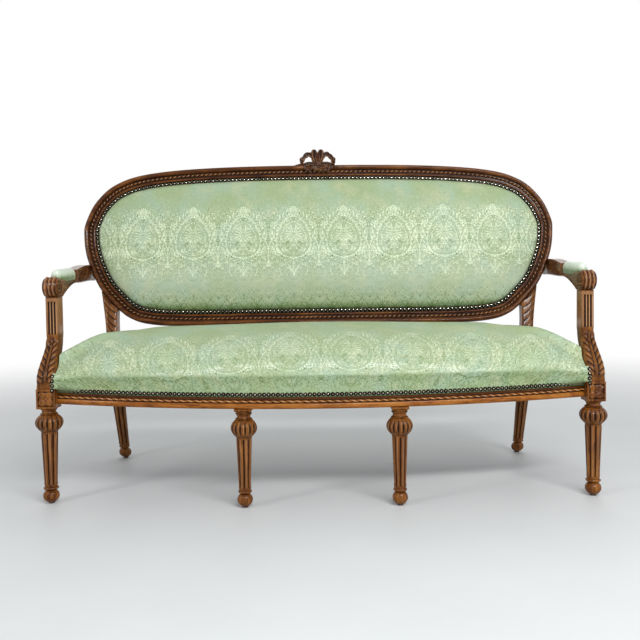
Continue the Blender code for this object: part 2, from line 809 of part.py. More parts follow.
def corner_blocks():
    """Glued blocks in the four inner corners of the seat frame, cut round the leg blocks."""
    z0 = rail_base + corner_block_rise
    for side, sign in (("left", -1), ("right", 1)):
        start = front_half - corner_block_reach
        end = front_half - overrun
        inner = side_rail_depth + joint_gap
        deep = block_half + corner_block_reach
        notch = front_face(end) + front_rail_depth + 3 * overrun
        front = [
            (start, front_face(start) + front_rail_depth + joint_gap),
            (end, front_face(end) + front_rail_depth + joint_gap),
            (side_face(notch) - inner, notch),
            (side_face(deep) - inner, deep),
        ]
        rear_face = rear_block_y - rear_rail_depth / 2 - joint_gap
        leg_x = rear_block_x - rear_block_half - joint_gap
        leg_y = rear_block_y - rear_block_half - joint_gap
        far = leg_y - corner_block_reach
        rear = [
            (leg_x - corner_block_reach, rear_face), (leg_x, rear_face), (leg_x, leg_y),
            (side_face(leg_y) - inner, leg_y), (side_face(far) - inner, far),
        ]
        for place, plan in (("front", front), ("rear", rear)):
            rings = [[(sign * x, y, z) for x, y in plan] for z in (z0, z0 + corner_block_height)]
            ring_solid(f"corner_block_{place}_{side}", rings, hidden_wood)


# Arms

def ease(share):
    share = min(max(share, 0.0), 1.0)
    return share * share * (3 - 2 * share)


def post_centre_y(z):
    return post_sweep * post_narrowing(z)


def post_narrowing(z):
    """0 at the foot of the post and 1 where its sweep ends."""
    return ease((z - block_top - post_sweep_start) / post_sweep_height)


def post_depth(z):
    share = (z - block_top) / (post_top_z - block_top)
    return post_foot_depth + (post_top_depth - post_foot_depth) * ease(share)


def post_levels():
    foot = block_top + joint_gap
    return [foot + (post_top_z - foot) * share for share in post_level_shares]


def arm_post(side, sign, leg):
    """The curved post: upright off the leg's block, swept back, then upright to the arm."""
    edge = arm_edge
    rings = []
    for z in post_levels():
        x = sign * (corner_x - post_draw_in * post_narrowing(z))
        y, half = post_centre_y(z), post_depth(z) / 2
        wide = (post_width + (post_top_width - post_width) * post_narrowing(z)) / 2
        plan = [
            (-wide, -half + edge), (-wide + edge, -half), (wide - edge, -half), (wide, -half + edge),
            (wide, half - edge), (wide - edge, half), (-wide + edge, half), (-wide, half - edge),
        ]
        rings.append([(x + a, y + b, z) for a, b in plan])
    post = ring_solid(f"arm_post_{side}", rings, show_wood)
    # Three flutes down the front of the upper half
    top = post_top_z - 2 * post_flute_diameter
    front_y = post_sweep - post_top_depth / 2 + post_flute_depth - post_flute_diameter / 2
    for k in (-1, 0, 1):
        x = sign * post_top_x + k * post_flute_pitch
        start, end = (x, front_y, top - post_flute_length), (x, front_y, top)
        cut(post, rod_solid(f"{post.name}_flute", start, end, post_flute_diameter, show_wood, flute_sides))
    x, y, z = sign * corner_x, -block_half / 3, block_top
    low, high = (x, y, z - dowel_length / 2), (x, y, z + dowel_length / 2)
    dowel(f"post_dowel_{side}", low, high, dowel_diameter, (post, leg))
    return post


def arm_outline():
    """The arm from the side as (y, z): scroll, pad seat, step, rear end and underside."""
    centre_z = post_top_z + scroll_radius + joint_gap
    points = []
    for angle in np.linspace(-math.pi / 2, -3 * math.pi / 2, scroll_steps + 1):
        y = scroll_y + scroll_radius * math.cos(angle)
        points.append((y, centre_z + scroll_radius * math.sin(angle)))
    pad_end_y = pad_start_y + pad_length
    points.append((pad_start_y - 2 * arm_edge, centre_z + scroll_radius * scroll_back_share))
    points.append((pad_start_y - arm_edge, pad_seat_front_z))
    points.append((pad_end_y + arm_edge, pad_seat_rear_z))
    points.append((pad_end_y + 2 * arm_edge, arm_step_top_z))
    mid_y = pad_end_y + 2 * arm_edge
    for share in arm_top_shares:
        rise = (arm_rear_top_z - arm_step_top_z) * math.sin(math.pi / 2 * share)
        points.append((mid_y + (arm_rear_y - mid_y) * share, arm_step_top_z + rise))
    points.append((arm_rear_y, arm_rear_low_z))
    bracket_y = post_sweep + post_top_depth / 2
    bracket_z = post_top_z + joint_gap
    points.append(((mid_y + arm_rear_y) / 2, (arm_rear_low_z + arm_mid_low_z) / 2))
    for share in arm_low_shares:
        drop = (bracket_z - arm_mid_low_z) * share ** arm_bracket_share
        points.append((mid_y + (bracket_y - mid_y) * share, arm_mid_low_z + drop))
    points.append((bracket_y, bracket_z))
    return points


def arm_spread(y):
    """How far the arm's centre line stands out past the post at a y."""
    spread = medallion_half_width * arm_end_share - post_top_x
    return spread * ease((y - pad_start_y) / (arm_rear_y - pad_start_y))


def arm_half(y):
    return scroll_half_width + (arm_half_width - scroll_half_width) * ease((y - pad_start_y) / scroll_radius)


def arm(side, sign, post, frame_side):
    outline = arm_outline()
    rings = []
    for share in (-1.0, 1.0):
        rings.append([(sign * (post_top_x + arm_spread(y)) + share * arm_half(y), y, z) for y, z in outline])
    piece = ring_solid(f"arm_{side}", rings, show_wood, split=False)
    soften = piece.modifiers.new("Edges", "BEVEL")
    soften.width = arm_edge * arm_soften_share
    soften.segments = 1
    soften.limit_method = "ANGLE"
    soften.angle_limit = math.radians(60)
    cut(piece, medallion_plate(f"{piece.name}_seat", -joint_gap, -frame_depth, frame_depth, show_wood))
    x = sign * post_top_x
    y = post_sweep
    dowel(
        f"arm_dowel_{side}", (x, y, post_top_z - dowel_length / 2), (x, y, post_top_z + dowel_length / 2),
        dowel_diameter, (post, piece),
    )
    # A level dowel from the medallion's edge into the arm's rear end
    z = (arm_rear_top_z + arm_rear_low_z) / 2
    s = (z - medallion_base_z) / math.cos(back_lean)
    outline_here = medallion_outline(0.0)
    half = outline_here[: outline_points // 2 + 1]
    edge_x = half[np.argmin(abs(half[:, 1] - s)), 0]
    inner = back_point(sign * (edge_x - dowel_length / 3), s, 0)
    outer = back_point(sign * (edge_x + dowel_length / 3), s, 0)
    dowel(f"arm_rear_dowel_{side}", inner, outer, dowel_diameter, (piece, frame_side))
    return piece


# Padded pieces: each is drawn in from its outline towards a spine, rising along a profile

def pillow_rings(outline, spine, profile, place):
    rings = []
    for reach, rise in profile:
        ring = [place(middle + (edge - middle) * reach, rise) for edge, middle in zip(outline, spine)]
        rings.append(ring)
    return rings


def pad_outline():
    """The arm pad's plan: a rounded lozenge along y, and its spine."""
    angles = 2 * math.pi * np.arange(pad_stations) / pad_stations
    across = np.sign(np.sin(angles)) * abs(np.sin(angles)) ** pad_side_share * (arm_half_width - joint_gap)
    along = np.sign(np.cos(angles)) * abs(np.cos(angles)) ** pad_end_share * (pad_length - arm_edge) / 2
    outline = np.stack([across, along], axis=1)
    spine = np.stack([np.zeros(pad_stations), along * (1 - arm_half_width / (pad_length / 2))], axis=1)
    return outline, spine


def arm_pad(side, sign):
    middle_y = pad_start_y + pad_length / 2
    outline, spine = pad_outline()

    def place(point, rise):
        y = middle_y + point[1]
        share = (y - pad_start_y) / pad_length
        seat_z = pad_seat_front_z + (pad_seat_rear_z - pad_seat_front_z) * share + 2 * joint_gap
        x = sign * (post_top_x + arm_spread(y)) + point[0]
        return (x, y, seat_z + pad_height * rise)

    rings = pillow_rings(outline, spine, pad_profile_shares, place)
    return ring_solid(f"arm_pad_{side}", rings, damask, merge=True)


def seat_outline(inset):
    """The seat's plan and spine, front then right, back and left; inset from the rails' faces."""
    front_shares = np.linspace(-1, 1, seat_front_stations)
    reach = side_face(0.0) - inset
    rear_y = rear_block_y + rear_rail_depth / 2 + cover_rebate + joint_gap - inset
    rear_half = side_face(rear_y) - inset
    spine_y = seat_middle_y
    edge, spine = [], []
    for share in front_shares:
        x = share * reach
        edge.append((x, front_face(min(abs(x), front_half)) + inset))
        spine.append((share * seat_spine_half, spine_y))
    front_y = edge[-1][1]
    for step in np.linspace(0, 1, seat_side_stations + 2)[1:-1]:
        y = front_y + (rear_y - front_y) * step
        edge.append((reach + (rear_half - reach) * step, y))
        spine.append((seat_spine_half, spine_y))
    for share in front_shares[::-1]:
        edge.append((share * rear_half, rear_y))
        spine.append((share * seat_spine_half, spine_y))
    for step in np.linspace(0, 1, seat_side_stations + 2)[1:-1]:
        y = rear_y + (front_y - rear_y) * step
        edge.append((-(rear_half + (reach - rear_half) * step), y))
        spine.append((-seat_spine_half, spine_y))
    return np.array(edge), np.array(spine)


def seat_surface(inset, drop, foot_z, hem_z=None):
    """Rings of the seat's dome: a rising side off the rails, then in to the crown."""
    edge, spine = seat_outline(inset)
    crown = seat_crown_z - drop - foot_z

    def place(point, rise):
        return (point[0], point[1], foot_z + crown * rise)

    rings = pillow_rings(edge, spine, seat_profile_shares, place)
    if hem_z is not None:
        hem = [(x, y, hem_z) for x, y in edge]
        for k in range(seat_front_stations):
            x, y, z = hem[k]
            hem[k] = (x, y, z - front_droop(min(abs(x), front_half)))
        rings = [hem] + rings
    return rings


def shell_solid(name, outer, inner, material):
    """A cloth shell between an outer and an inner stack of rings, open below."""
    shape = bmesh.new()
    stacks = []
    for stack in (outer, inner):
        rows = [[shape.verts.new(tuple(point)) for point in ring] for ring in stack]
        stacks.append(rows)
    count = len(outer[0])
    for rows in stacks:
        for low, high in zip(rows, rows[1:]):
            for k in range(count):
                after = (k + 1) % count
                shape.faces.new((low[k], low[after], high[after], high[k]))
    for k in range(count):
        after = (k + 1) % count
        shape.faces.new((stacks[0][0][k], stacks[1][0][k], stacks[1][0][after], stacks[0][0][after]))
    for rows in stacks:
        bmesh.ops.remove_doubles(shape, verts=rows[-1], dist=joint_gap / 10)
    return solid_of_bmesh(name, shape, material)


def seat_notches(piece):
    """Cuts the seat to clear the arm posts in front and the stiles behind."""
    gap = 2 * cloth_gap
    inner_x = corner_x - post_width / 2 - gap
    outer_x = corner_x + 2 * block_side
    for side, sign in (("left", -1), ("right", 1)):
        levels = post_levels()[1:]
        rear = [(block_half + gap, block_base), (block_half + gap, block_top)]
        rear += [(post_centre_y(z) + post_depth(z) / 2 + gap, z) for z in levels]
        front_y = -2 * block_side
        plan = [(front_y, block_base)] + rear + [(front_y, levels[-1])]
        rings = [[(sign * x, y, z) for y, z in plan] for x in (inner_x, outer_x)]
        cut(piece, ring_solid(f"{piece.name}_post_notch_{side}", rings, damask))
        notch_x = rear_block_x - max(rear_block_side, stile_width) / 2 - gap
        notch_y = rear_block_y - rear_block_half - gap
        size = (outer_x - notch_x, 2 * rear_block_side + overrun, seat_crown_z)
        centre = (sign * (notch_x + size[0] / 2), notch_y + size[1] / 2, rail_base - overrun + size[2] / 2)
        cut(piece, box_solid(f"{piece.name}_stile_notch_{side}", centre, size, damask))


def lattice_solid(name, across, along, place, thickness, material):
    """Flat crossing strips as one body: cells between strip edges, those in gaps left open."""
    shape = bmesh.new()
    grid = [[shape.verts.new(place(a, b)) for b in along] for a in across]
    for i in range(len(across) - 1):
        for j in range(len(along) - 1):
            if i % 2 and j % 2:
                continue
            shape.faces.new((grid[i][j], grid[i + 1][j], grid[i + 1][j + 1], grid[i][j + 1]))
    raised = bmesh.ops.extrude_face_region(shape, geom=shape.faces[:])
    moved = [item for item in raised["geom"] if isinstance(item, bmesh.types.BMVert)]
    bmesh.ops.translate(shape, verts=moved, vec=thickness)
    return solid_of_bmesh(name, shape, material)


def strip_edges(length, width, count):
    """Edges of evenly spaced strips over a length, from its middle."""
    pitch = (length - width) / (count - 1)
    edges = []
    for k in range(count):
        start = -length / 2 + k * pitch
        edges += [start, start + width]
    return edges


def seat_bed():
    """Webbing over the rails, then hessian, under the stuffing."""
    inset = webbing_inset
    rear_y = rear_block_y + rear_rail_depth / 2 - inset
    half = side_face(rear_block_y - rear_block_half) - inset - side_rail_depth / 2
    depth = rear_y - front_face(0) - inset
    across = strip_edges(2 * half, webbing_width, seat_strips_across)
    along = strip_edges(depth, webbing_width, seat_strips_along)
    bed_z = rail_top + joint_gap

    def place(a, b):
        front = front_face(a) + inset
        return (a, front + (b + depth / 2) / depth * (rear_y - front), bed_z)

    lattice = lattice_solid("seat_webbing", across, along, place, (0, 0, webbing_thickness), jute)
    hessian_z = bed_z + webbing_thickness + joint_gap
    edge, _ = seat_outline(cover_rebate + webbing_inset)
    levels = (hessian_z, hessian_z + hessian_thickness)
    sheet = ring_solid("seat_hessian", [[(x, y, z) for x, y in edge] for z in levels], jute)
    for piece in (lattice, sheet):
        seat_notches(piece)
    return hessian_z + hessian_thickness


def seat_upholstery():
    bed_top = seat_bed()
    inner_inset = cover_rebate - joint_gap - cloth_gap
    outer_inset = inner_inset - cover_thickness
    inner = seat_surface(inner_inset, cover_thickness, rail_top + joint_gap, hem_base)
    outer = seat_surface(outer_inset, 0.0, rail_top + joint_gap, hem_base)
    cover = shell_solid("seat_cover", outer, inner, damask)
    fill_inset = inner_inset + cloth_gap
    fill_rings = seat_surface(fill_inset, cover_thickness + cloth_gap, rail_top + joint_gap)
    fill_rings[0] = [(x, y, bed_top + joint_gap) for x, y, _ in fill_rings[0]]
    fill = ring_solid("seat_stuffing", fill_rings, stuffing, merge=True)
    for piece in (cover, fill):
        seat_notches(piece)
    # The dust cover is tacked up under the corner blocks, inside the rails.
    high = rail_base + corner_block_rise - joint_gap
    edge, _ = seat_outline(front_rail_depth + 2 * cloth_gap)
    levels = (high - dust_cover_thickness, high)
    dust = ring_solid("seat_dust_cover", [[(x, y, z) for x, y in edge] for z in levels], cambric)
    seat_notches(dust)


def back_outline_and_spine(inset):
    outline = medallion_outline(inset)
    middle = medallion_height / 2
    limit = back_spine_half / (medallion_half_width - inset)
    opposite = (outline_points // 2 - np.arange(outline_points)) % outline_points
    shared_x = (outline[:, 0] + outline[opposite, 0]) / 2
    spine = np.stack([shared_x * limit, np.full(outline_points, middle)], axis=1)
    return outline, spine


def back_upholstery():
    bed_w = land_w + joint_gap
    webbing_top = bed_w + webbing_thickness
    skirt = frame_width - nail_land
    fill_inset = skirt + back_skirt
    width = 2 * medallion_half_width
    across = strip_edges(width, back_webbing_width, back_strips_across)
    along = strip_edges(medallion_height, back_webbing_width, back_strips_along)

    def place(a, b):
        return back_point(a, b + medallion_height / 2, bed_w)

    lift = Vector(back_point(0, 0, webbing_thickness)) - Vector(back_point(0, 0, 0))
    web = lattice_solid("back_webbing", across, along, place, lift, jute)
    # Many strip edges cross the rounded outline, where only the manifold solver keeps one body.
    trim = medallion_plate("back_webbing_trim", fill_inset, bed_w - overrun, webbing_top + overrun, jute)
    boolean(web, helper(trim), "INTERSECT", "MANIFOLD")

    def surface(inset, foot_w, crown_w):
        outline, spine = back_outline_and_spine(inset)

        def place_point(point, rise):
            return back_point(point[0], point[1], foot_w + (crown_w - foot_w) * rise)

        return pillow_rings(outline, spine, back_profile_shares, place_point)

    def flat_ring(inset, w):
        return [back_point(x, s, w) for x, s in medallion_outline(inset)]

    foot = webbing_top + joint_gap
    fill_rings = [flat_ring(fill_inset, foot)] + surface(fill_inset, foot, back_crown)
    ring_solid("back_stuffing", [ring[::2] for ring in fill_rings], stuffing, merge=True)
    inner_inset = fill_inset - cloth_gap
    outer_inset = inner_inset - cover_thickness
    inner = [flat_ring(skirt + joint_gap, bed_w), flat_ring(inner_inset, bed_w)]
    inner += surface(inner_inset, foot + cloth_gap, back_crown + cloth_gap)
    lift_w = cover_thickness
    outer = [flat_ring(skirt + joint_gap, bed_w + lift_w), flat_ring(outer_inset, bed_w + lift_w)]
    outer += surface(outer_inset, foot + cloth_gap + lift_w, back_crown + cloth_gap + lift_w)
    shell_solid("back_cover", outer, inner, damask)
    rear_w = -frame_depth / 2 - joint_gap
    medallion_plate("outside_back_cover", back_panel_inset, rear_w - cover_thickness, rear_w, damask)


# Crest

def ribbon_loop(name, place, long, short, lean, width):
    """A closed ribbon round an ellipse in the plane of the back, leaning by an angle."""
    x, rise = place
    count, sides = ribbon_steps, ribbon_sides
    rings = []
    for k in range(count):
        angle = 2 * math.pi * k / count
        u, v = short * math.cos(angle), long * math.sin(angle)
        tangent = np.array((-short * math.sin(angle), long * math.cos(angle)))
        tangent /= np.linalg.norm(tangent)
        out = np.array((tangent[1], -tangent[0]))
        ring = []
        for j in range(sides):
            turn = 2 * math.pi * (j + 0.5) / sides
            a = np.array((u, v)) + out * (width / 2 - width / 2 * (1 - math.cos(turn)))
            px = x + a[0] * math.cos(lean) + a[1] * math.sin(lean)
            ps = medallion_height + rise - a[0] * math.sin(lean) + a[1] * math.cos(lean)
            ring.append(back_point(px, ps, crest_depth / 2 * math.sin(turn)))
        rings.append(ring)
    shape = bmesh.new()
    rows = [[shape.verts.new(point) for point in ring] for ring in rings]
    for i in range(count):
        low, high = rows[i], rows[(i + 1) % count]
        for k in range(sides):
            after = (k + 1) % sides
            shape.faces.new((low[k], low[after], high[after], high[k]))
    return solid_of_bmesh(name, shape, show_wood)


def bead(name, place, halves, w, lean=0.0):
    """A carved boss of the crest, an ellipsoid of the given half sizes."""
    x, rise = place
    half_x, half_s, half_w = halves
    shape = bmesh.new()
    bmesh.ops.create_uvsphere(shape, u_segments=10, v_segments=6, radius=1.0)
    for vertex in shape.verts:
        a, b, c = vertex.co.x * half_x, vertex.co.y * half_s, vertex.co.z * half_w
        px = x + a * math.cos(lean) + b * math.sin(lean)
        ps = medallion_height + rise - a * math.sin(lean) + b * math.cos(lean)
        vertex.co = back_point(px, ps, w + c)
    return solid_of_bmesh(name, shape, show_wood)


def crest(top_rail):
    """A ribbon bow over an apron that laps the face of the top rail. Its many crossing curved
    shapes are joined with the manifold solver, which keeps them one closed body."""
    front = frame_depth / 2
    angles = math.pi * np.arange(crest_steps + 1) / crest_steps
    plan = []
    for angle in angles:
        rise = (crest_base_rise + overrun) * math.sin(angle) - overrun
        plan.append((crest_base_half * math.cos(angle), rise))
    rings = []
    for w in (-crest_depth / 2, front + crest_depth / 3):
        rings.append([back_point(x, medallion_height + s, w) for x, s in plan])
    piece = ring_solid("crest_bow", rings, show_wood)

    def merge(part):
        fuse(piece, part, "MANIFOLD")

    apron_plan = []
    for angle in angles:
        drop = crest_apron_drop * max(math.sin(angle), 0.0) ** apron_fullness_share
        apron_plan.append((-crest_base_half * apron_width_share * math.cos(angle), -drop))
    apron_w = front + joint_gap
    lift = crest_base_rise / 2
    apron = [
        [back_point(x, medallion_height + s + lift, w) for x, s in apron_plan]
        for w in (apron_w - overrun, apron_w + crest_depth / 3)
    ]
    merge(ring_solid("crest_apron", apron, show_wood))
    for sign in (-1, 1):
        side = "left" if sign < 0 else "right"
        halves = (crest_petal_short, crest_petal_long, crest_depth / 2)
        place = (sign * crest_petal_x, crest_petal_rise)
        merge(bead(f"crest_petal_{side}", place, halves, 0.0, sign * crest_petal_lean))
        merge(ribbon_loop(
            f"crest_loop_{side}", (sign * crest_loop_x, crest_loop_rise), crest_loop_long,
            crest_loop_short, sign * crest_loop_lean, crest_loop_width,
        ))
        halves = (crest_curl_radius, crest_curl_height, crest_depth / 2)
        merge(bead(f"crest_curl_{side}", (sign * crest_curl_x, crest_curl_rise), halves, 0.0))
        halves = (crest_tail_long, crest_tail_short, crest_depth / 3)
        place = (sign * crest_tail_x, -crest_tail_drop)
        merge(bead(f"crest_tail_{side}", place, halves, apron_w + crest_depth / 3, sign * crest_tail_lean))
    halves = (crest_knot_width, crest_knot_height, crest_depth / 2)
    merge(bead("crest_knot", (0.0, crest_base_rise / 2), halves, crest_depth / 2))
    cut(piece, medallion_rail_relief(), "MANIFOLD")
    for sign in (-1, 1):
        side = "left" if sign < 0 else "right"
        x = sign * crest_base_half / 2
        low = back_point(x, medallion_height - dowel_length / 3, 0)
        high = back_point(x, medallion_height + crest_base_rise / 2, 0)
        dowel(f"crest_dowel_{side}", low, high, dowel_diameter / 2, (piece, top_rail))
    return piece


def medallion_rail_relief():
    """The room that the crest leaves for the rail it straddles."""
    return medallion_plate("crest_relief", -joint_gap, -frame_depth, frame_depth / 2 + joint_gap, show_wood)


# The whole piece

def build():
    legs = {"left": corner_leg("left", -1), "right": corner_leg("right", 1)}
    rear_legs = {"left": rear_leg("left", -1), "right": rear_leg("right", 1)}
    front_rail = make_front_rail()
    rear_rail = make_rear_rail()
    side_rails = {"left": make_side_rail("left", -1), "right": make_side_rail("right", 1)}
    join_rails(front_rail, rear_rail, side_rails, legs, rear_legs)
    for side, sign in (("left", -1), ("right", 1)):
        inner_leg(side, sign, front_rail)
        cross_rail(side, sign, front_rail, rear_rail)
    corner_blocks()
    frame = back_frame()
    for side, sign in (("left", -1), ("right", 1)):
        seat_stile(side, sign, rear_legs[side], frame[side])
        post = arm_post(side, sign, legs[side])
        arm(side, sign, post, frame[side])
        arm_pad(side, sign)
    crest(frame["top"])
    seat_upholstery()
    back_upholstery()


def centre_on_origin():
    """Moves the empty so that the middle of the whole stands over the origin."""
    bpy.context.view_layer.update()
    graph = bpy.context.evaluated_depsgraph_get()
    lows, highs = [], []
    for piece in bpy.context.scene.collection.objects:
        if piece.type != "MESH" or piece.hide_render:
            continue
        shape = piece.evaluated_get(graph).to_mesh()
        points = np.empty(len(shape.vertices) * 3)
        shape.vertices.foreach_get("co", points)
        points = points.reshape(-1, 3)
        lows.append(points.min(axis=0))
        highs.append(points.max(axis=0))
    low, high = np.min(lows, axis=0), np.max(highs, axis=0)
    base.location = (-(low[0] + high[0]) / 2, -(low[1] + high[1]) / 2, -low[2])
    size = high - low
    print(f"Size {size[0]:.3f} x {size[1]:.3f} x {size[2]:.3f} m, front legs at y = {base.location.y:.4f}")


build()
centre_on_origin()
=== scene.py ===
# A three-seat canape in the Louis XVI manner: a carved and polished medallion back, six turned legs,
# curved arm posts, pale green silk damask and rows of domed brass nails. Metres, +Z up, front towards -Y.
import math

import bmesh
import bpy
import numpy as np
from mathutils import Matrix, Vector


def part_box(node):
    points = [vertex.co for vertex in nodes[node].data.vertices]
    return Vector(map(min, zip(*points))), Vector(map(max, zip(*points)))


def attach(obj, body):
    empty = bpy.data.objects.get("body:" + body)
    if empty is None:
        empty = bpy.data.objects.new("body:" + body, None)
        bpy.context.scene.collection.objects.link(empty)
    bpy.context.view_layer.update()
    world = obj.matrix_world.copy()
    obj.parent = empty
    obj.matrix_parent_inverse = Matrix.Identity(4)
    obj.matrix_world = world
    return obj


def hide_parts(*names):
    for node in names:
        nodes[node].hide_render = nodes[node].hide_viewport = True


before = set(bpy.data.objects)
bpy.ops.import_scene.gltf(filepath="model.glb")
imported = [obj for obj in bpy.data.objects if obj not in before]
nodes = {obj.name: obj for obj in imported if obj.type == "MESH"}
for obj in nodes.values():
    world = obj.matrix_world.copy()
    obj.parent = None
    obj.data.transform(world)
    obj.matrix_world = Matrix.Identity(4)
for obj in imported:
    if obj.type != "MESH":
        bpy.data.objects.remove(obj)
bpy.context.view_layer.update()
glideLow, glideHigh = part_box("glide_front_left")
legLineY = (glideLow.y + glideHigh.y) / 2  # every y below is measured from the front legs' middle
legLine = np.array((0, legLineY, 0))
bothSides = (("left", -1), ("right", 1))

photoView = {
    "place": (-0.0069, -2.118, 0.608),
    "tiltDown": 2.433,
    "yaw": 0.167,
    "roll": -0.783,
    "focalPixels": 740.0,
    "framePixels": 640,
}
softLight = {"keyWatts": 72.0, "fillWatts": 13.0, "backWatts": 13.0, "skyLevel": 0.47}


# Turns an sRGB hex colour into the linear values that a shader socket takes
def linearColour(hexText):
    channels = np.array([int(hexText[k:k + 2], 16) for k in (1, 3, 5)]) / 255
    linear = np.where(channels <= 0.04045, channels / 12.92, ((channels + 0.055) / 1.055) ** 2.4)
    return (*(float(value) for value in linear), 1.0)


# Adds one shader node: values and sockets by input, everything else as settings
def addNode(tree, kind, inputs=None, **settings):
    made = tree.nodes.new("ShaderNode" + kind)
    for name, value in settings.items():
        setattr(made, name, value)
    for key, value in (inputs or {}).items():
        if isinstance(value, bpy.types.NodeSocket):
            tree.links.new(value, made.inputs[key])
        else:
            made.inputs[key].default_value = value
    return made


# A new material with its node tree and its main shader, whose fixed values are given by socket
def newMaterial(name, fixed):
    material = bpy.data.materials.new(name)
    material.use_nodes = True
    shader = material.node_tree.nodes["Principled BSDF"]
    for key, value in fixed.items():
        shader.inputs[key].default_value = value
    return material, material.node_tree, shader


def placeCamera():
    tilt, yaw, roll = (math.radians(photoView[key]) for key in ("tiltDown", "yaw", "roll"))
    ahead = Vector((math.sin(yaw) * math.cos(tilt), math.cos(yaw) * math.cos(tilt), -math.sin(tilt)))
    level = Vector((math.cos(yaw), -math.sin(yaw), 0))
    upright = level.cross(ahead)
    right = math.cos(roll) * level + math.sin(roll) * upright
    up = -math.sin(roll) * level + math.cos(roll) * upright
    camera = bpy.data.objects.new("photoCamera", bpy.data.cameras.new("photoCamera"))
    camera.data.sensor_width = 36
    camera.data.lens = photoView["focalPixels"] / photoView["framePixels"] * 36
    camera.data.clip_start = 0.01
    turn = Matrix((right, up, -ahead)).transposed().to_4x4()
    camera.matrix_world = Matrix.Translation(Vector(photoView["place"]) + Vector((0, legLineY, 0))) @ turn
    bpy.context.scene.collection.objects.link(camera)
    bpy.context.scene.camera = camera


def placeLights():
    for name, place, wide, tall, watts in (
        ("windowLight", (0.9, -2.5, 2.15), 2.2, 0.34, softLight["keyWatts"]),
        ("fillLight", (-2.3, -2.0, 1.7), 0.4, 0.8, softLight["fillWatts"]),
        ("backLight", (0.3, 2.4, 2.4), 2.4, 2.4, softLight["backWatts"]),
    ):
        lamp = bpy.data.objects.new(name, bpy.data.lights.new(name, "AREA"))
        lamp.data.shape = "RECTANGLE"
        lamp.data.size, lamp.data.size_y = wide, tall
        lamp.data.energy = watts
        lamp.location = place
        lamp.rotation_euler = (Vector((0, 0, 0.5)) - Vector(place)).to_track_quat("-Z", "Y").to_euler()
        bpy.context.scene.collection.objects.link(lamp)
    world = bpy.data.worlds.new("paleRoom")
    world.use_nodes = True
    tree = world.node_tree
    tree.nodes.clear()
    rays = addNode(tree, "LightPath")
    shown = addNode(tree, "Math", {0: rays.outputs["Is Camera Ray"], 1: rays.outputs["Is Glossy Ray"]},
                    operation="MAXIMUM")
    shown = addNode(tree, "Math", {0: shown.outputs[0], 1: rays.outputs["Is Transmission Ray"]},
                    operation="MAXIMUM")
    room = addNode(tree, "Background",
                   {"Color": linearColour("#EEF1F4"), "Strength": softLight["skyLevel"]})
    white = addNode(tree, "Background", {"Color": (1, 1, 1, 1), "Strength": 1.0})
    mixed = addNode(tree, "MixShader", {0: shown.outputs[0], 1: room.outputs[0], 2: white.outputs[0]})
    addNode(tree, "OutputWorld", {0: mixed.outputs[0]})
    bpy.context.scene.world = world
    bpy.context.scene.view_settings.view_transform = "Standard"


def layFloor():
    side = 14.0
    mesh = bpy.data.meshes.new("paleFloor")
    corners = [(-side, -side, 0), (side, -side, 0), (side, side, 0), (-side, side, 0)]
    mesh.from_pydata(corners, [], [(0, 1, 2, 3)])
    floor = bpy.data.objects.new("paleFloor", mesh)
    bpy.context.scene.collection.objects.link(floor)
    # Painted screed, matt and pale; far off it runs to the white of the room, with no line between
    material, tree, shader = newMaterial("paintedScreed", {"Roughness": 0.55})
    place = addNode(tree, "TexCoord")
    mottle = addNode(tree, "TexNoise", {"Vector": place.outputs["Object"], "Scale": 3.0, "Detail": 6.0})
    shades = addNode(tree, "Mix", {"Factor": mottle.outputs["Fac"], "A": linearColour("#D9DCDD"),
                                   "B": linearColour("#E4E6E6")}, data_type="RGBA")
    tree.links.new(shades.outputs["Result"], shader.inputs["Base Color"])
    away = addNode(tree, "VectorMath", {0: place.outputs["Object"]}, operation="LENGTH").outputs["Value"]
    rays = addNode(tree, "LightPath")
    far = addNode(tree, "MapRange", {"Value": away, "From Min": 1.1, "From Max": 5.0},
                  interpolation_type="SMOOTHSTEP").outputs[0]
    seen = addNode(tree, "Math", {0: rays.outputs["Is Camera Ray"], 1: rays.outputs["Is Glossy Ray"]},
                   operation="MAXIMUM").outputs[0]
    share = addNode(tree, "Math", {0: far, 1: seen}, operation="MULTIPLY").outputs[0]
    white = addNode(tree, "Emission", {"Color": (1, 1, 1, 1), "Strength": 1.0}).outputs[0]
    blend = addNode(tree, "MixShader", {0: share, 1: shader.outputs[0], 2: white}).outputs[0]
    tree.links.new(blend, tree.nodes["Material Output"].inputs["Surface"])
    mesh.materials.append(material)


placeCamera()
placeLights()
layFloor()
print("camera, light and floor are in place")


# Materials

woodLooks = {
    # Stained walnut, french polished: dark red-brown with a clear gloss, blacker where wax fills the carving
    # and where shade is painted in it
    "darkWalnut": {"deep": "#331809", "plain": "#5B3215", "light": "#8A5626", "waxShade": "#120704", "grain": "x"},
    # The same polish on upright pieces, a little more orange where light and hands have worn it
    "polishedWalnut": {"deep": "#42200B", "plain": "#78461B", "light": "#A46C31", "waxShade": "#140804",
                       "grain": "z"},
    # The seat rails, the most orange of all
    "railWalnut": {"deep": "#5A2B0B", "plain": "#985A21", "light": "#B97B37", "waxShade": "#200D05", "grain": "x"},
    # Arms, whose grain runs from front to back
    "armWalnut": {"deep": "#3E1D0C", "plain": "#6E3F1C", "light": "#9A6231", "waxShade": "#1A0B05", "grain": "y"},
}
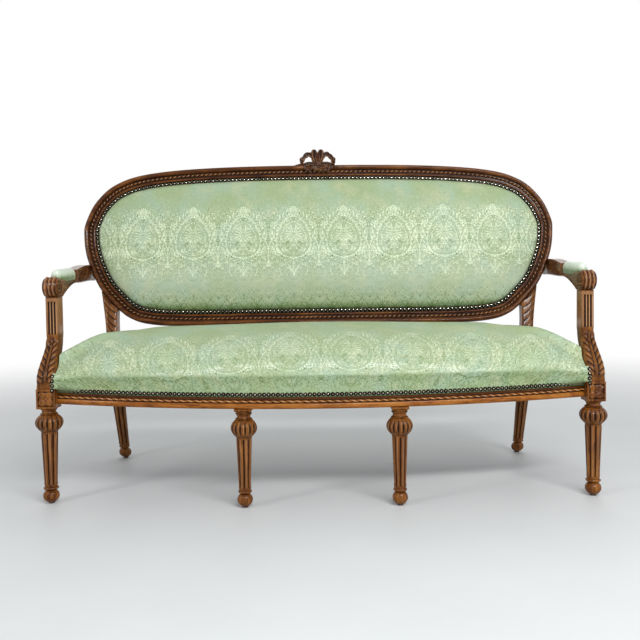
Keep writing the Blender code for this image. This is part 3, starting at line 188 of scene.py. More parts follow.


# A polished wood: long grain from stretched noise, pores as fine streaks, wax and painted shade in the
# hollows of the carving (a mesh attribute, 1 in a groove, 0 on plain wood, -1 on a crest, which is lighter
# for hands that have rubbed it and for a painted highlight), and a clear coat of polish
def polishedWood(name):
    look = woodLooks[name]
    material, tree, shader = newMaterial(name, {"IOR": 1.5, "Specular IOR Level": 0.07, "Coat Weight": 0.2,
                                                "Coat Roughness": 0.06})
    place = addNode(tree, "TexCoord").outputs["Object"]
    along = {"x": (1.0, 9.0, 9.0), "y": (9.0, 1.0, 9.0), "z": (9.0, 9.0, 1.0)}[look["grain"]]
    stretched = addNode(tree, "Mapping", {"Vector": place, "Scale": along}).outputs[0]
    # Growth rings 4 to 8 mm apart across the grain
    rings = addNode(tree, "TexNoise", {"Vector": stretched, "Scale": 9.0, "Detail": 5.0,
                                       "Roughness": 0.62, "Distortion": 0.6}).outputs["Fac"]
    # Pores 0.3 mm wide and a few millimetres long, drawn at 0.8 mm so that they show
    pores = addNode(tree, "TexNoise", {"Vector": stretched, "Scale": 95.0, "Detail": 2.0,
                                       "Roughness": 0.5}).outputs["Fac"]
    patches = addNode(tree, "TexNoise", {"Vector": place, "Scale": 11.0, "Detail": 3.0}).outputs["Fac"]
    colour = addNode(tree, "ValToRGB", {"Fac": rings})
    for element, key, stop in zip(colour.color_ramp.elements, ("deep", "light"), (0.3, 0.74)):
        element.position = stop
        element.color = linearColour(look[key])
    middle = colour.color_ramp.elements.new(0.52)
    middle.color = linearColour(look["plain"])
    carved = addNode(tree, "Attribute", attribute_name="grimeShadeAndGleam").outputs["Fac"]
    # Each share: what it reads, from where to where, and what it gives. Rubbed places are lighter, in
    # patches a few centimetres across. Hollows of the carving take wax and painted shade, crests a lighter
    # colour for rubbed wood and a painted highlight
    shares = {}
    for title, source, start, end, low, high in (
        ("pore", pores, 0.36, 0.46, 0.55, 0.0), ("rubbed", patches, 0.5, 0.72, 0.0, 0.4),
        ("waxAndShade", carved, 0.12, 0.85, 0.0, 0.93), ("rubbedAndHighlit", carved, -0.1, -1.0, 0.0, 0.7),
        ("gloss", patches, 0.3, 0.7, 0.17, 0.29),
    ):
        shares[title] = addNode(tree, "MapRange", {"Value": source, "From Min": start, "From Max": end,
                                                   "To Min": low, "To Max": high}).outputs[0]
    surface = colour.outputs[0]
    for title, hexText in (("pore", look["deep"]), ("rubbed", look["light"]), ("waxAndShade", look["waxShade"]),
                           ("rubbedAndHighlit", "#CFA57C")):
        surface = addNode(tree, "Mix", {"Factor": shares[title], "A": surface, "B": linearColour(hexText)},
                          data_type="RGBA").outputs["Result"]
    tree.links.new(surface, shader.inputs["Base Color"])
    dull = addNode(tree, "Math", {0: shares["waxAndShade"], 1: 0.22, 2: shares["gloss"]},
                   operation="MULTIPLY_ADD").outputs[0]
    tree.links.new(dull, shader.inputs["Roughness"])
    relief = addNode(tree, "Bump", {"Height": shares["pore"], "Strength": 0.12,
                                    "Distance": -0.0003}).outputs[0]
    waves = addNode(tree, "Bump", {"Height": patches, "Normal": relief, "Strength": 0.35,
                                   "Distance": 0.0012}).outputs[0]
    tree.links.new(waves, shader.inputs["Normal"])
    return material


woods = {name: polishedWood(name) for name in woodLooks}

damaskLook = {
    "ground": "#9CAE83",      # the satin ground, warp threads of pale green silk
    "figure": "#DCEACB",      # the figure, weft threads that catch the light
    # The dark colour is the pattern's dark leaves and lace, and also the painted shade of the figure where
    # the cloth turns down
    "darkFigureAndShade": "#5E763E",       # the dark leaves, where the sheen turns
    "cool": "#A0B8A2",        # faded and cooler patches
    "warm": "#B6BB90",        # warmer, yellower patches
    "repeatWidth": 0.178,
    "repeatHeight": 0.54,
    "threadPitch": 0.0011,    # real threads are 0.25 mm apart, drawn coarser so that they show
}
wreath = {"halfWide": 0.06, "rise": 0.088, "fall": 0.062, "teeth": 23.0}


# Each step is a name, a Math node's operation and what it works on. @ stands for the motif's own title
def motifSteps(title, text):
    return text.replace("@", title)


# Steps for a motif's own distance R and angle A from its middle, across and up
def roundSteps(title, across, up):
    return motifSteps(title, f"@P SUBTRACT p {across}; @Q SUBTRACT q {up}; @PTwo MULTIPLY @P @P; "
                             "@RTwo MULTIPLY_ADD @Q @Q @PTwo; @R SQRT @RTwo; @A ARCTAN2 @Q @P")


# Steps for a scroll or a fan: where the sine of turns times the angle plus tightness times the distance is
# over a share, inside a reach
def scrollSteps(title, across, up, turns, tight, share, reach):
    return roundSteps(title, across, up) + motifSteps(
        title, f"; @T MULTIPLY @A {turns}; @L MULTIPLY_ADD @R {tight} @T; @W SINE @L; "
               f"@On GREATER_THAN @W {share}; @In LESS_THAN @R {reach}; @ MULTIPLY @On @In")


# Steps for a stalk: a thin line from one height to another whose place across is start + lean t + bend t^2
def stalkSteps(title, start, lean, bend, low, high, half, across="p"):
    return motifSteps(title, f"@T SUBTRACT q {low}; @B MULTIPLY_ADD @T {bend} {lean}; "
                             f"@C MULTIPLY_ADD @T @B {start}; @D SUBTRACT {across} @C; @E ABSOLUTE @D; "
                             f"@Thin LESS_THAN @E {half}; @M SUBTRACT q {(low + high) / 2}; @N ABSOLUTE @M; "
                             f"@Span LESS_THAN @N {(high - low) / 2}; @ MULTIPLY @Thin @Span")


# The place in one repeat: p across from its middle line, always positive, so that the cloth is woven
# mirror-wise, and q up from the wreath's middle
placeSteps = [
    "turn DIVIDE u repeatWidth; cell FRACT turn; cellMiddle SUBTRACT cell 0.5",
    "signed MULTIPLY cellMiddle repeatWidth; p ABSOLUTE signed; row DIVIDE v repeatHeight",
    "rowHalf ADD row 0.5; rowCell FRACT rowHalf; rowMiddle SUBTRACT rowCell 0.5",
    "q MULTIPLY rowMiddle repeatHeight",
]
# One repeat of the damask: a pointed wreath with a toothed rim, a flower, volutes and a fan inside it, forked
# stems and drops between wreaths, a spray below, and a row of dark bushes at the foot
figureSteps = [
    # Wreath: its half height differs above and below
    "above GREATER_THAN q 0.0; reach MULTIPLY_ADD above riseMore fall; qShare DIVIDE q reach",
    "qSize ABSOLUTE qShare; bend MULTIPLY_ADD above -0.55 2.2; pShare DIVIDE p halfWide",
    "pPower POWER pShare bend; qPower POWER qSize bend; powers ADD pPower qPower; ring POWER powers 0.5",
    "angle ARCTAN2 qShare pShare; toothTurn MULTIPLY angle teeth",
    "toothLean MULTIPLY_ADD ring 11.0 toothTurn; toothWave SINE toothLean; toothSize ABSOLUTE toothWave",
    "tooth POWER toothSize 2.5; rimWide MULTIPLY_ADD tooth 0.068 0.016; rimOff SUBTRACT ring 0.98",
    "rimOut SUBTRACT rimOff rimWide; rimSize ABSOLUTE rimOut; rimFull LESS_THAN rimSize rimWide",
    "rimWhole GREATER_THAN leafNoise 0.4; rimBroken MULTIPLY rimFull rimWhole",
    "rimShare MULTIPLY_ADD qShare -0.3 0.95; rim MULTIPLY rimBroken rimShare",
    # Outer leaves, a broken second rim, and a row of pearls inside the first
    "outerOff SUBTRACT ring 1.25; outerSize ABSOLUTE outerOff; outerTurn MULTIPLY angle 31.0",
    "outerLean MULTIPLY_ADD ring -30.0 outerTurn; outerWave SINE outerLean",
    "outerWide MULTIPLY_ADD outerWave 0.11 -0.035; outer LESS_THAN outerSize outerWide",
    "pearlOff SUBTRACT ring 0.8; pearlSize ABSOLUTE pearlOff; pearlTurn MULTIPLY angle 36.0",
    "pearlWave SINE pearlTurn; pearlWide MULTIPLY pearlWave 0.03; pearls LESS_THAN pearlSize pearlWide",
    # Flower, low in the wreath: five outlined petals round a seed head
    roundSteps("flower", 0.0, -0.016),
    "petalTurn MULTIPLY flowerA 6.0; petalWave COSINE petalTurn",
    "petalReach MULTIPLY_ADD petalWave 0.0045 0.015; petalOff SUBTRACT flowerR petalReach",
    "petalSize ABSOLUTE petalOff; petals LESS_THAN petalSize 0.0013",
    scrollSteps("seed", 0.0, -0.016, 9.0, 0.0, 0.1, 0.0085),
    scrollSteps("voluteHigh", 0.036, 0.006, 1.0, 1350.0, 0.5, 0.0135),
    scrollSteps("voluteLow", 0.03, -0.034, 1.0, -1500.0, 0.5, 0.0105),
    scrollSteps("voluteTop", 0.022, 0.046, 1.0, 1600.0, 0.45, 0.0085),
    scrollSteps("fan", 0.0, 0.022, 15.0, 60.0, 0.45, 0.029),
    scrollSteps("crown", 0.0, 0.106, 13.0, 0.0, 0.25, 0.02),
    # Between wreaths: forked stems with a volute at each tip, a drop, and clumps of leaves
    stalkSteps("stem", 0.089, 0.0, 0.0, -0.078, -0.034, 0.0012),
    stalkSteps("fork", 0.089, -0.1, -5.6, -0.036, 0.016, 0.0013),
    stalkSteps("forkTwo", 0.089, -0.6, 6.0, -0.058, -0.02, 0.0011),
    scrollSteps("tip", 0.0745, 0.024, 1.0, 1500.0, 0.4, 0.01),
    scrollSteps("tipLow", 0.079, -0.061, 1.0, -1500.0, 0.45, 0.008),
    scrollSteps("drop", 0.089, -0.086, 7.0, 240.0, 0.0, 0.0095),
    scrollSteps("clump", 0.064, -0.04, 5.0, 330.0, -0.1, 0.013),
    scrollSteps("clumpTop", 0.07, 0.056, 5.0, -300.0, 0.0, 0.012),
    # Spray below the wreath
    stalkSteps("sprayOne", 0.0, 0.0, 0.0, -0.128, -0.074, 0.0012),
    stalkSteps("sprayTwo", 0.0, 0.3, 6.0, -0.124, -0.08, 0.0012),
    stalkSteps("sprayThree", 0.0, 0.75, 9.0, -0.12, -0.086, 0.0012),
    stalkSteps("sprayFour", 0.04, 0.55, -6.0, -0.128, -0.096, 0.0011),
    scrollSteps("sprayTip", 0.044, -0.088, 1.0, 1500.0, 0.4, 0.0085),
    # Vermicelli between them all, woven mirror-wise like the rest: lines of equal height in a noise, bright
    # ones and darker ones beside them, thinning out over the plain strips
    "curlOff SUBTRACT curl 0.5; curlSize ABSOLUTE curlOff; curlLine LESS_THAN curlSize 0.034",
    "darkOff SUBTRACT curl 0.575; darkSize ABSOLUTE darkOff; darkLine LESS_THAN darkSize 0.024",
    "bandOff ADD q 0.006; bandSize ABSOLUTE bandOff; bandFall MULTIPLY_ADD bandSize -17.0 2.75",
    "bandOne MINIMUM bandFall 1.0; band MAXIMUM bandOne 0.28; lowFall MULTIPLY_ADD q -70.0 -11.4",
    "lowOne MINIMUM lowFall 0.9; bands MAXIMUM band lowOne; lace MULTIPLY curlLine bands",
    "darkLace MULTIPLY darkLine bands",
    # Bushes at the foot, two to a wreath: a stem, curved branches and curls, darker than the ground
    "bushTurn MULTIPLY turn 2.0; bushCell FRACT bushTurn; bushMiddle SUBTRACT bushCell 0.5",
    "bushSize ABSOLUTE bushMiddle; b MULTIPLY bushSize halfRepeat",
    stalkSteps("trunk", 0.0, 0.0, 0.0, -0.254, -0.214, 0.0022, "b"),
    stalkSteps("branchOne", 0.0, 0.45, 5.0, -0.232, -0.2, 0.0015, "b"),
    stalkSteps("branchTwo", 0.0, 0.8, 2.0, -0.246, -0.222, 0.0014, "b"),
    stalkSteps("branchThree", 0.046, -0.1, -14.0, -0.252, -0.214, 0.0015, "b"),
    "footFall MULTIPLY_ADD q -60.0 -12.9; footOne MINIMUM footFall 0.75",
    "footLeaf LESS_THAN leafEdge 0.12; footZero MAXIMUM footOne 0.0",
    "footShare MULTIPLY footLeaf footZero; lowEdge MULTIPLY_ADD q 80.0 21.6; lowEnd MINIMUM lowEdge 1.0",
    "foot MULTIPLY footShare lowEnd; lowZero MAXIMUM lowOne 0.0; lowLine MULTIPLY lowZero lowEnd",
    "lowCurl MULTIPLY darkLine lowLine",
]
brightMotifs = ("rim outer pearls petals seed voluteHigh voluteLow voluteTop fan crown stem fork forkTwo tip "
                "tipLow drop clump clumpTop sprayOne sprayTwo sprayThree sprayFour sprayTip").split()
darkMotifs = "trunk branchOne branchTwo branchThree lowCurl foot".split()


# Silk damask: satin ground and figure in one colour, told apart by their sheen. The pattern follows the
# mesh attribute clothPlace, the flat cloth's own place in metres, so that it runs over the seat's edge.
# The sheen is painted by the cloth's tilt: the figure is painted bright where the cloth faces level or up,
# fainter where it faces straight up, and darker than the ground where it turns down
def silkDamask(name, darkTilt, brightTilt, sheenFaintTilt, depth, glint=0.0):
    look = damaskLook
    material, tree, shader = newMaterial(name, {"IOR": 1.45, "Specular IOR Level": 0.45,
                                                "Sheen Weight": 0.28, "Sheen Roughness": 0.35,
                                                "Sheen Tint": linearColour("#E6F2D2")})
    place = addNode(tree, "Attribute", attribute_name="clothPlace").outputs["Vector"]
    # Hand-drawn waver of the figure, about 1 mm
    waver = addNode(tree, "TexNoise", {"Vector": place, "Scale": 62.0, "Detail": 2.0}).outputs["Color"]
    waver = addNode(tree, "VectorMath", {0: waver, 1: (0.5, 0.5, 0.5)}, operation="SUBTRACT").outputs[0]
    wavered = addNode(tree, "VectorMath", {0: waver, 1: (0.0045, 0.0045, 0.0), 2: place},
                      operation="MULTIPLY_ADD").outputs[0]
    parts = addNode(tree, "SeparateXYZ", {0: wavered})
    known = {"u": parts.outputs["X"], "v": parts.outputs["Y"], "depth": depth, "glintMost": glint, **wreath,
             "riseMore": wreath["rise"] - wreath["fall"], "repeatWidth": look["repeatWidth"],
             "repeatHeight": look["repeatHeight"], "halfRepeat": look["repeatWidth"] / 2}

    def follow(*steps):
        for step in "; ".join(steps).split("; "):
            title, operation, *operands = step.split()
            values = {k: known[name] if name in known else float(name) for k, name in enumerate(operands)}
            known[title] = addNode(tree, "Math", values, operation=operation, label=title).outputs[0]

    follow(*placeSteps)
    mirrored = addNode(tree, "CombineXYZ", {0: known["p"], 1: known["q"]}).outputs[0]
    known["curl"] = addNode(tree, "TexNoise", {"Vector": mirrored, "Scale": 92.0, "Detail": 1.4,
                                               "Roughness": 0.45, "Distortion": 1.6}).outputs["Fac"]
    known["leafNoise"] = addNode(tree, "TexNoise", {"Vector": mirrored, "Scale": 120.0}).outputs["Fac"]
    known["leafEdge"] = addNode(tree, "TexVoronoi", {"Vector": mirrored, "Scale": 190.0},
                                voronoi_dimensions="2D", feature="DISTANCE_TO_EDGE").outputs["Distance"]
    follow(*figureSteps)
    for title, motifs in (("bright", brightMotifs), ("dark", darkMotifs)):
        known[title] = known[motifs[0]]
        follow(*(f"{title} MAXIMUM {title} {motif}" for motif in motifs[1:]))
    upward = addNode(tree, "SeparateXYZ", {0: addNode(tree, "NewGeometry").outputs["Normal"]}).outputs
    fades = addNode(tree, "TexNoise", {"Vector": place, "Scale": 7.5, "Detail": 3.0}).outputs["Fac"]
    fadeTwo = addNode(tree, "TexNoise", {"Vector": place, "Scale": 16.0, "Detail": 2.0,
                                         "Distortion": 0.8}).outputs["Fac"]
    slubPlace = addNode(tree, "Mapping", {"Vector": place, "Scale": (1.0, 14.0, 1.0)}).outputs[0]
    slubs = addNode(tree, "TexNoise", {"Vector": slubPlace, "Scale": 60.0, "Detail": 2.0}).outputs["Fac"]
    # Each share: what it reads, from where to where, and what it gives
    for title, source, start, end, low, high in (
        ("tilt", upward["Z"], darkTilt, brightTilt, 0.0, 1.0),
        ("topTilt", upward["Z"], sheenFaintTilt, sheenFaintTilt + 0.35, 1.0, 0.5),
        ("rollIn", upward["Z"], 0.26, 0.46, 0.0, 1.0), ("rollOut", upward["Z"], 0.8, 0.56, 0.0, 1.0),
        ("forward", upward["Y"], -0.45, -0.75, 0.0, 1.0), ("cool", fades, 0.42, 0.62, 0.0, 0.65),
        ("warm", fadeTwo, 0.5, 0.72, 0.0, 0.6), ("strength", fadeTwo, 0.35, 0.65, 0.62, 1.0),
        ("tint", slubs, 0.3, 0.7, 0.93, 1.05),
    ):
        known[title] = addNode(tree, "MapRange", {"Value": source, "From Min": start, "From Max": end,
                                                  "To Min": low, "To Max": high}).outputs[0]
    # Painted sheen: lit is the figure's share painted bright by tilt; where the cloth turns down the figure
    # is painted dark instead, on top of the dark lace and motifs of the pattern itself
    follow("woven MULTIPLY_ADD lace 1.0 bright; all MAXIMUM woven dark; lit MULTIPLY tilt topTilt",
           "figureAll MULTIPLY woven lit; figure MULTIPLY figureAll depth; turned SUBTRACT 1.0 lit",
           "turnedAll MULTIPLY all turned; turnedHalf MULTIPLY turnedAll 0.52",
           "shadow MULTIPLY_ADD darkLace 0.75 turnedHalf; shadowTwo MULTIPLY_ADD dark 0.8 shadow",
           "shadowOne MINIMUM shadowTwo 1.0")
    figure = addNode(tree, "Math", {0: known["figure"], 1: known["strength"]}, operation="MULTIPLY",
                     use_clamp=True).outputs[0]
    known["shown"] = figure
    # A painted glint: the figure is painted near white where the cloth rolls over an edge, in a level row of
    # its own beads
    follow("rollOver MULTIPLY rollIn rollOut; rolled MULTIPLY rollOver forward; footTop LESS_THAN q -0.035",
           "footLow GREATER_THAN q -0.054; beadRow MULTIPLY footTop footLow; beads MULTIPLY beadRow shown",
           "litFigure MAXIMUM beads sprayTip; glintAll MULTIPLY rolled litFigure",
           "glint MULTIPLY glintAll glintMost")
    for clothMark in ("clothFade", "clothSoil"):
        known[clothMark] = addNode(tree, "Attribute", attribute_name=clothMark).outputs["Fac"]
    surface = linearColour(look["ground"])
    for title, hexText in (("cool", look["cool"]), ("warm", look["warm"]), ("shadowOne", look["darkFigureAndShade"]),
                           ("shown", look["figure"]), ("glint", "#F3F8EC"), ("clothFade", "#E6EFE2"),
                           ("clothSoil", "#39402A")):
        surface = addNode(tree, "Mix", {"Factor": known[title], "A": surface, "B": linearColour(hexText)},
                          data_type="RGBA").outputs["Result"]
    surface = addNode(tree, "VectorMath", {0: surface, "Scale": known["tint"]}, operation="SCALE").outputs[0]
    tree.links.new(surface, shader.inputs["Base Color"])
    # Threads: weft bars across u, and slubs that run along v
    flat = addNode(tree, "SeparateXYZ", {0: place})
    threads = []
    for axis in ("X", "Y"):
        turns = addNode(tree, "Math", {0: flat.outputs[axis], 1: 2 * math.pi / look["threadPitch"]},
                        operation="MULTIPLY").outputs[0]
        threads.append(addNode(tree, "Math", {0: turns}, operation="SINE").outputs[0])
    weave = addNode(tree, "Math", {0: threads[0], 1: threads[1]}, operation="MULTIPLY").outputs[0]
    rough = addNode(tree, "MapRange", {"Value": figure, "To Min": 0.46, "To Max": 0.3}).outputs[0]
    tree.links.new(rough, shader.inputs["Roughness"])
    raised = addNode(tree, "Bump", {"Height": figure, "Strength": 0.35, "Distance": 0.0006}).outputs[0]
    fine = addNode(tree, "Bump", {"Height": weave, "Normal": raised, "Strength": 0.16,
                                  "Distance": 0.0003}).outputs[0]
    puckers = addNode(tree, "Bump", {"Height": slubs, "Normal": fine, "Strength": 0.25,
                                     "Distance": 0.0008}).outputs[0]
    tree.links.new(puckers, shader.inputs["Normal"])
    return material


backDamask = silkDamask("silkDamaskBack", -0.3, 0.02, 0.26, 0.84)
seatDamask = silkDamask("silkDamaskSeat", -0.04, 0.5, 3.0, 0.48, 0.5)


# Antique brass, pressed and lacquered dark, rubbed bright on the crown of each dome; the bright crown is also
# a painted highlight, and the near-black foot of each dome a painted shade between the nails
def antiqueBrass():
    material, tree, shader = newMaterial("antiqueBrass", {"Metallic": 1.0})
    carved = addNode(tree, "Attribute", attribute_name="grimeShadeAndGleam").outputs["Fac"]
    place = addNode(tree, "TexCoord").outputs["Object"]
    specks = addNode(tree, "TexNoise", {"Vector": place, "Scale": 210.0, "Detail": 3.0}).outputs["Fac"]
    # The ring levels give each dome a near-black foot, a painted shade, and a bright crown, rubbed and a
    # painted highlight; specks vary it at random
    wearShadeAndGleam = addNode(tree, "Math", {0: specks, 1: 0.3, 2: carved}, operation="MULTIPLY_ADD").outputs[0]
    colour = addNode(tree, "ValToRGB", {"Fac": wearShadeAndGleam})
    for element, hexText, stop in zip(colour.color_ramp.elements, ("#F2EAD8", "#0B0806"), (0.09, 0.5)):
        element.position = stop
        element.color = linearColour(hexText)
    colour.color_ramp.elements.new(0.24).color = linearColour("#2E261B")
    tree.links.new(colour.outputs[0], shader.inputs["Base Color"])
    rough = addNode(tree, "MapRange", {"Value": wearShadeAndGleam, "From Min": 0.2, "From Max": 1.2, "To Min": 0.14,
                                       "To Max": 0.3}).outputs[0]
    tree.links.new(rough, shader.inputs["Roughness"])
    return material


# Plain woods and cloths that only show from below or behind
def plainFinish(name, light, dark, scale, roughness, stretch=(1.0, 1.0, 1.0)):
    material, tree, shader = newMaterial(name, {"Roughness": roughness})
    place = addNode(tree, "TexCoord").outputs["Object"]
    place = addNode(tree, "Mapping", {"Vector": place, "Scale": stretch}).outputs[0]
    grain = addNode(tree, "TexNoise", {"Vector": place, "Scale": scale, "Detail": 6.0}).outputs["Fac"]
    shades = addNode(tree, "Mix", {"Factor": grain, "A": linearColour(dark), "B": linearColour(light)},
                     data_type="RGBA").outputs["Result"]
    tree.links.new(shades, shader.inputs["Base Color"])
    bumps = addNode(tree, "Bump", {"Height": grain, "Strength": 0.3, "Distance": 0.0008}).outputs[0]
    tree.links.new(bumps, shader.inputs["Normal"])
    return material


brass = antiqueBrass()
# Planed beech left bare inside the frame, pale pinkish brown with short flecks
rawBeech = plainFinish("planedBeech", "#C39A6B", "#A47B50", 22.0, 0.62, (1.0, 9.0, 9.0))
# Black cotton cambric, matt, with a slight weave
blackCambric = plainFinish("cottonCambric", "#2B2B2C", "#1A1A1B", 900.0, 0.92)
# Jute webbing and hessian, straw brown and coarse
strawJute = plainFinish("wovenJute", "#A88A5C", "#7C6038", 700.0, 0.9)
# Nailed steel glides with a dull brown plating
dullSteel = plainFinish("platedSteel", "#5A4C40", "#3A3029", 300.0, 0.38)
print("materials are ready")


# Meshes

smoothLimit = math.radians(40)


# Gathers surfaces given as grids of points. A grid is (along, across, 3); a closed one wraps across.
def newShell():
    return {"points": [], "faces": [], "grimeShadeGleams": [], "count": 0}


# Adds one grid. Capped and wrapped it is a closed body, and is turned so that its faces look out
def addGrid(shell, grid, depth=None, wrapAcross=True, wrapAlong=False, caps=True, turned=False):
    rows, columns = grid.shape[:2]
    index = np.arange(rows * columns).reshape(rows, columns)
    if wrapAlong:
        index = np.vstack([index, index[:1]])
    if wrapAcross:
        index = np.hstack([index, index[:, :1]])
    quads = joined(index[:-1, :-1], index[:-1, 1:], index[1:, 1:], index[1:, :-1]).reshape(-1, 4)
    flat = grid.reshape(-1, 3)
    ends = []
    if wrapAcross and caps and not wrapAlong:
        ends = [index[0, :-1][::-1], index[-1, :-1]]
    if wrapAcross and (caps or wrapAlong):
        corner = [flat[quads[:, k]] - flat.mean(axis=0) for k in range(4)]
        volume = np.einsum("ij,ij->", corner[0], np.cross(corner[1], corner[2]))
        volume += np.einsum("ij,ij->", corner[0], np.cross(corner[2], corner[3]))
        for end in ends:
            ring = flat[end] - flat.mean(axis=0)
            middle = ring.mean(axis=0)
            volume += np.einsum("ij,ij->", np.broadcast_to(middle, ring.shape),
                                np.cross(ring, np.roll(ring, -1, axis=0)))
        turned = volume < 0
    if turned:
        quads = quads[:, ::-1]
        ends = [end[::-1] for end in ends]
    shell["faces"].append(quads + shell["count"])
    shell["faces"] += [end[None, :] + shell["count"] for end in ends]
    shell["points"].append(flat)
    shell["grimeShadeGleams"].append(np.zeros(len(flat)) if depth is None else np.clip(depth, -1, 1).reshape(-1))
    shell["count"] += len(flat)


# A shell of one grid only
def gridShell(*grid, **how):
    shell = newShell()
    addGrid(shell, *grid, **how)
    return shell


# Puts gathered grids into one mesh object at the origin, in the frame's own place
def makePiece(name, shell, material, replaced=(), sharp=smoothLimit):
    points = np.vstack(shell["points"]) + legLine
    loops = np.concatenate([face.reshape(-1) for face in shell["faces"]]).astype(np.int32)
    sizes = np.concatenate([np.full(len(face), face.shape[1]) for face in shell["faces"]]).astype(np.int32)
    starts = np.r_[0, np.cumsum(sizes)[:-1]].astype(np.int32)
    mesh = bpy.data.meshes.new(name)
    mesh.vertices.add(len(points))
    mesh.vertices.foreach_set("co", points.astype(np.float32).ravel())
    mesh.loops.add(len(loops))
    mesh.loops.foreach_set("vertex_index", loops)
    mesh.polygons.add(len(sizes))
    mesh.polygons.foreach_set("loop_start", starts)
    mesh.polygons.foreach_set("loop_total", sizes)
    mesh.update(calc_edges=True)
    mesh.validate()
    mesh.shade_smooth()
    mesh.set_sharp_from_angle(angle=sharp)
    depth = mesh.attributes.new("grimeShadeAndGleam", "FLOAT", "POINT")
    depth.data.foreach_set("value", np.concatenate(shell["grimeShadeGleams"]).astype(np.float32))
    mesh.materials.append(material)
    piece = bpy.data.objects.new(name, mesh)
    bpy.context.scene.collection.objects.link(piece)
    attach(piece, "root")
    if replaced:
        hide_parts(*replaced)
    return piece


def limit(value):
    return np.clip(value, 0, 1)


# From 0 to 1 with a soft start and end
def ease(share):
    share = limit(share)
    return share * share * (3 - 2 * share)


# A quarter round: 1 in the middle and 0 at one either side
def dome(across):
    return np.sqrt(limit(1 - across ** 2))


def bell(distance, width):
    return np.exp(-(distance / width) ** 2)


def turnsRound(count):
    return 2 * math.pi * np.arange(count) / count


# Coordinates, spread to one size, side by side in the last axis
def joined(*coordinates):
    return np.stack(np.broadcast_arrays(*coordinates), axis=-1)


# A bump that is 1 in the middle and falls to 0 at one width either side
def hump(distance, width):
    return limit(1 - (distance / width) ** 2)


# Ribbon twist: leaning leaves round a hidden rod, a pearl between each two. Place along in metres,
# across from -1 to 1; gives the height from 0 to 1
def ribbonTwist(along, across, pitch):
    turn = np.mod(along / pitch + 0.3 * across, 1.0)
    leaf = limit(np.sin(math.pi * limit(turn / 0.74))) ** 0.55
    pearl = 0.62 * np.sqrt(hump(np.abs(turn - 0.87), 0.13)) * hump(across, 0.75)
    return np.maximum(leaf, pearl) * np.sqrt(limit(1 - 0.92 * across ** 2))


# Tone of a carved form by its height from 0 to 1: wax and painted shade at its foot, rubbed bright and a
# painted highlight on its crest
def carvedWaxShadeAndGleam(height, waxShade=1.0, crest=0.78):
    return waxShade * limit(1.0 - 1.7 * height) - limit((height - crest) / (1 - crest))


# A carved piece in the place of its plain solid
def carve(name, shell, wood):
    makePiece(f"{name}_carved", shell, woods[wood], (name,))


# Medallion back

back = {
    "halfWidth": 0.843,
    "height": 0.581,
    "baseY": 0.517,
    "baseZ": 0.4812,
    "lean": math.radians(9.0),
    "frameDepth": 0.038,
    "torusWidth": 0.017,
    "torusRise": 0.009,
    "twistStart": 0.02,
    "twistWidth": 0.009,
    "twistPitch": 0.0165,
    "beadStart": 0.0325,
    "beadWidth": 0.0085,
    "landRise": 0.008,
    "stationStep": 0.0017,
    "topJointX": 0.721,
    "baseJointX": 0.582,
    "patternMiddle": 0.295,
}
outlineShares = np.array((
    (0.000, 1.000), (0.44, 0.991), (0.72, 0.958), (0.865, 0.893), (0.95, 0.782),
    (0.993, 0.654), (1.000, 0.57), (0.985, 0.427), (0.933, 0.25), (0.866, 0.132),
    (0.8, 0.052), (0.715, 0.0145), (0.56, 0.000), (0.28, 0.000), (0.000, 0.000),
))


# Leaning plane of the back: x across, s up the plane, w out towards the sitter
def backPlace(x, s, w):
    x, s, w = np.broadcast_arrays(np.asarray(x, float), s, w)
    y = back["baseY"] + s * math.sin(back["lean"]) - w * math.cos(back["lean"])
    z = back["baseZ"] + s * math.cos(back["lean"]) + w * math.sin(back["lean"])
    return joined(x, y, z)


# The medallion's outline: a closed Catmull-Rom curve through its shares, clockwise from the top middle.
# Gives its places, its inward normals and the way run, at even steps
def medallionCurve(count):
    half = outlineShares * (back["halfWidth"], back["height"])
    loop = np.vstack([half, half[-2:0:-1] * (-1, 1)])
    t = (np.arange(160) / 160)[:, None]
    before, start, end, after = (np.roll(loop, shift, axis=0)[:, None] for shift in (1, 0, -1, -2))
    fine = 0.5 * (2 * start + (end - before) * t + (2 * before - 5 * start + 4 * end - after) * t ** 2
                  + (3 * start - before - 3 * end + after) * t ** 3)
    fine = fine.reshape(-1, 2)
    fine = np.vstack([fine, fine[:1]])
    run = np.r_[0, np.cumsum(np.linalg.norm(np.diff(fine, axis=0), axis=1))]
    even = np.linspace(0, run[-1], count, endpoint=False)
    place = np.stack([np.interp(even, run, fine[:, k]) for k in (0, 1)], axis=1)
    ahead = np.roll(place, -2, axis=0) - np.roll(place, 2, axis=0)
    ahead /= np.linalg.norm(ahead, axis=1)[:, None]
    inward = joined(ahead[:, 1], -ahead[:, 0])
    return place, inward, even, run[-1]


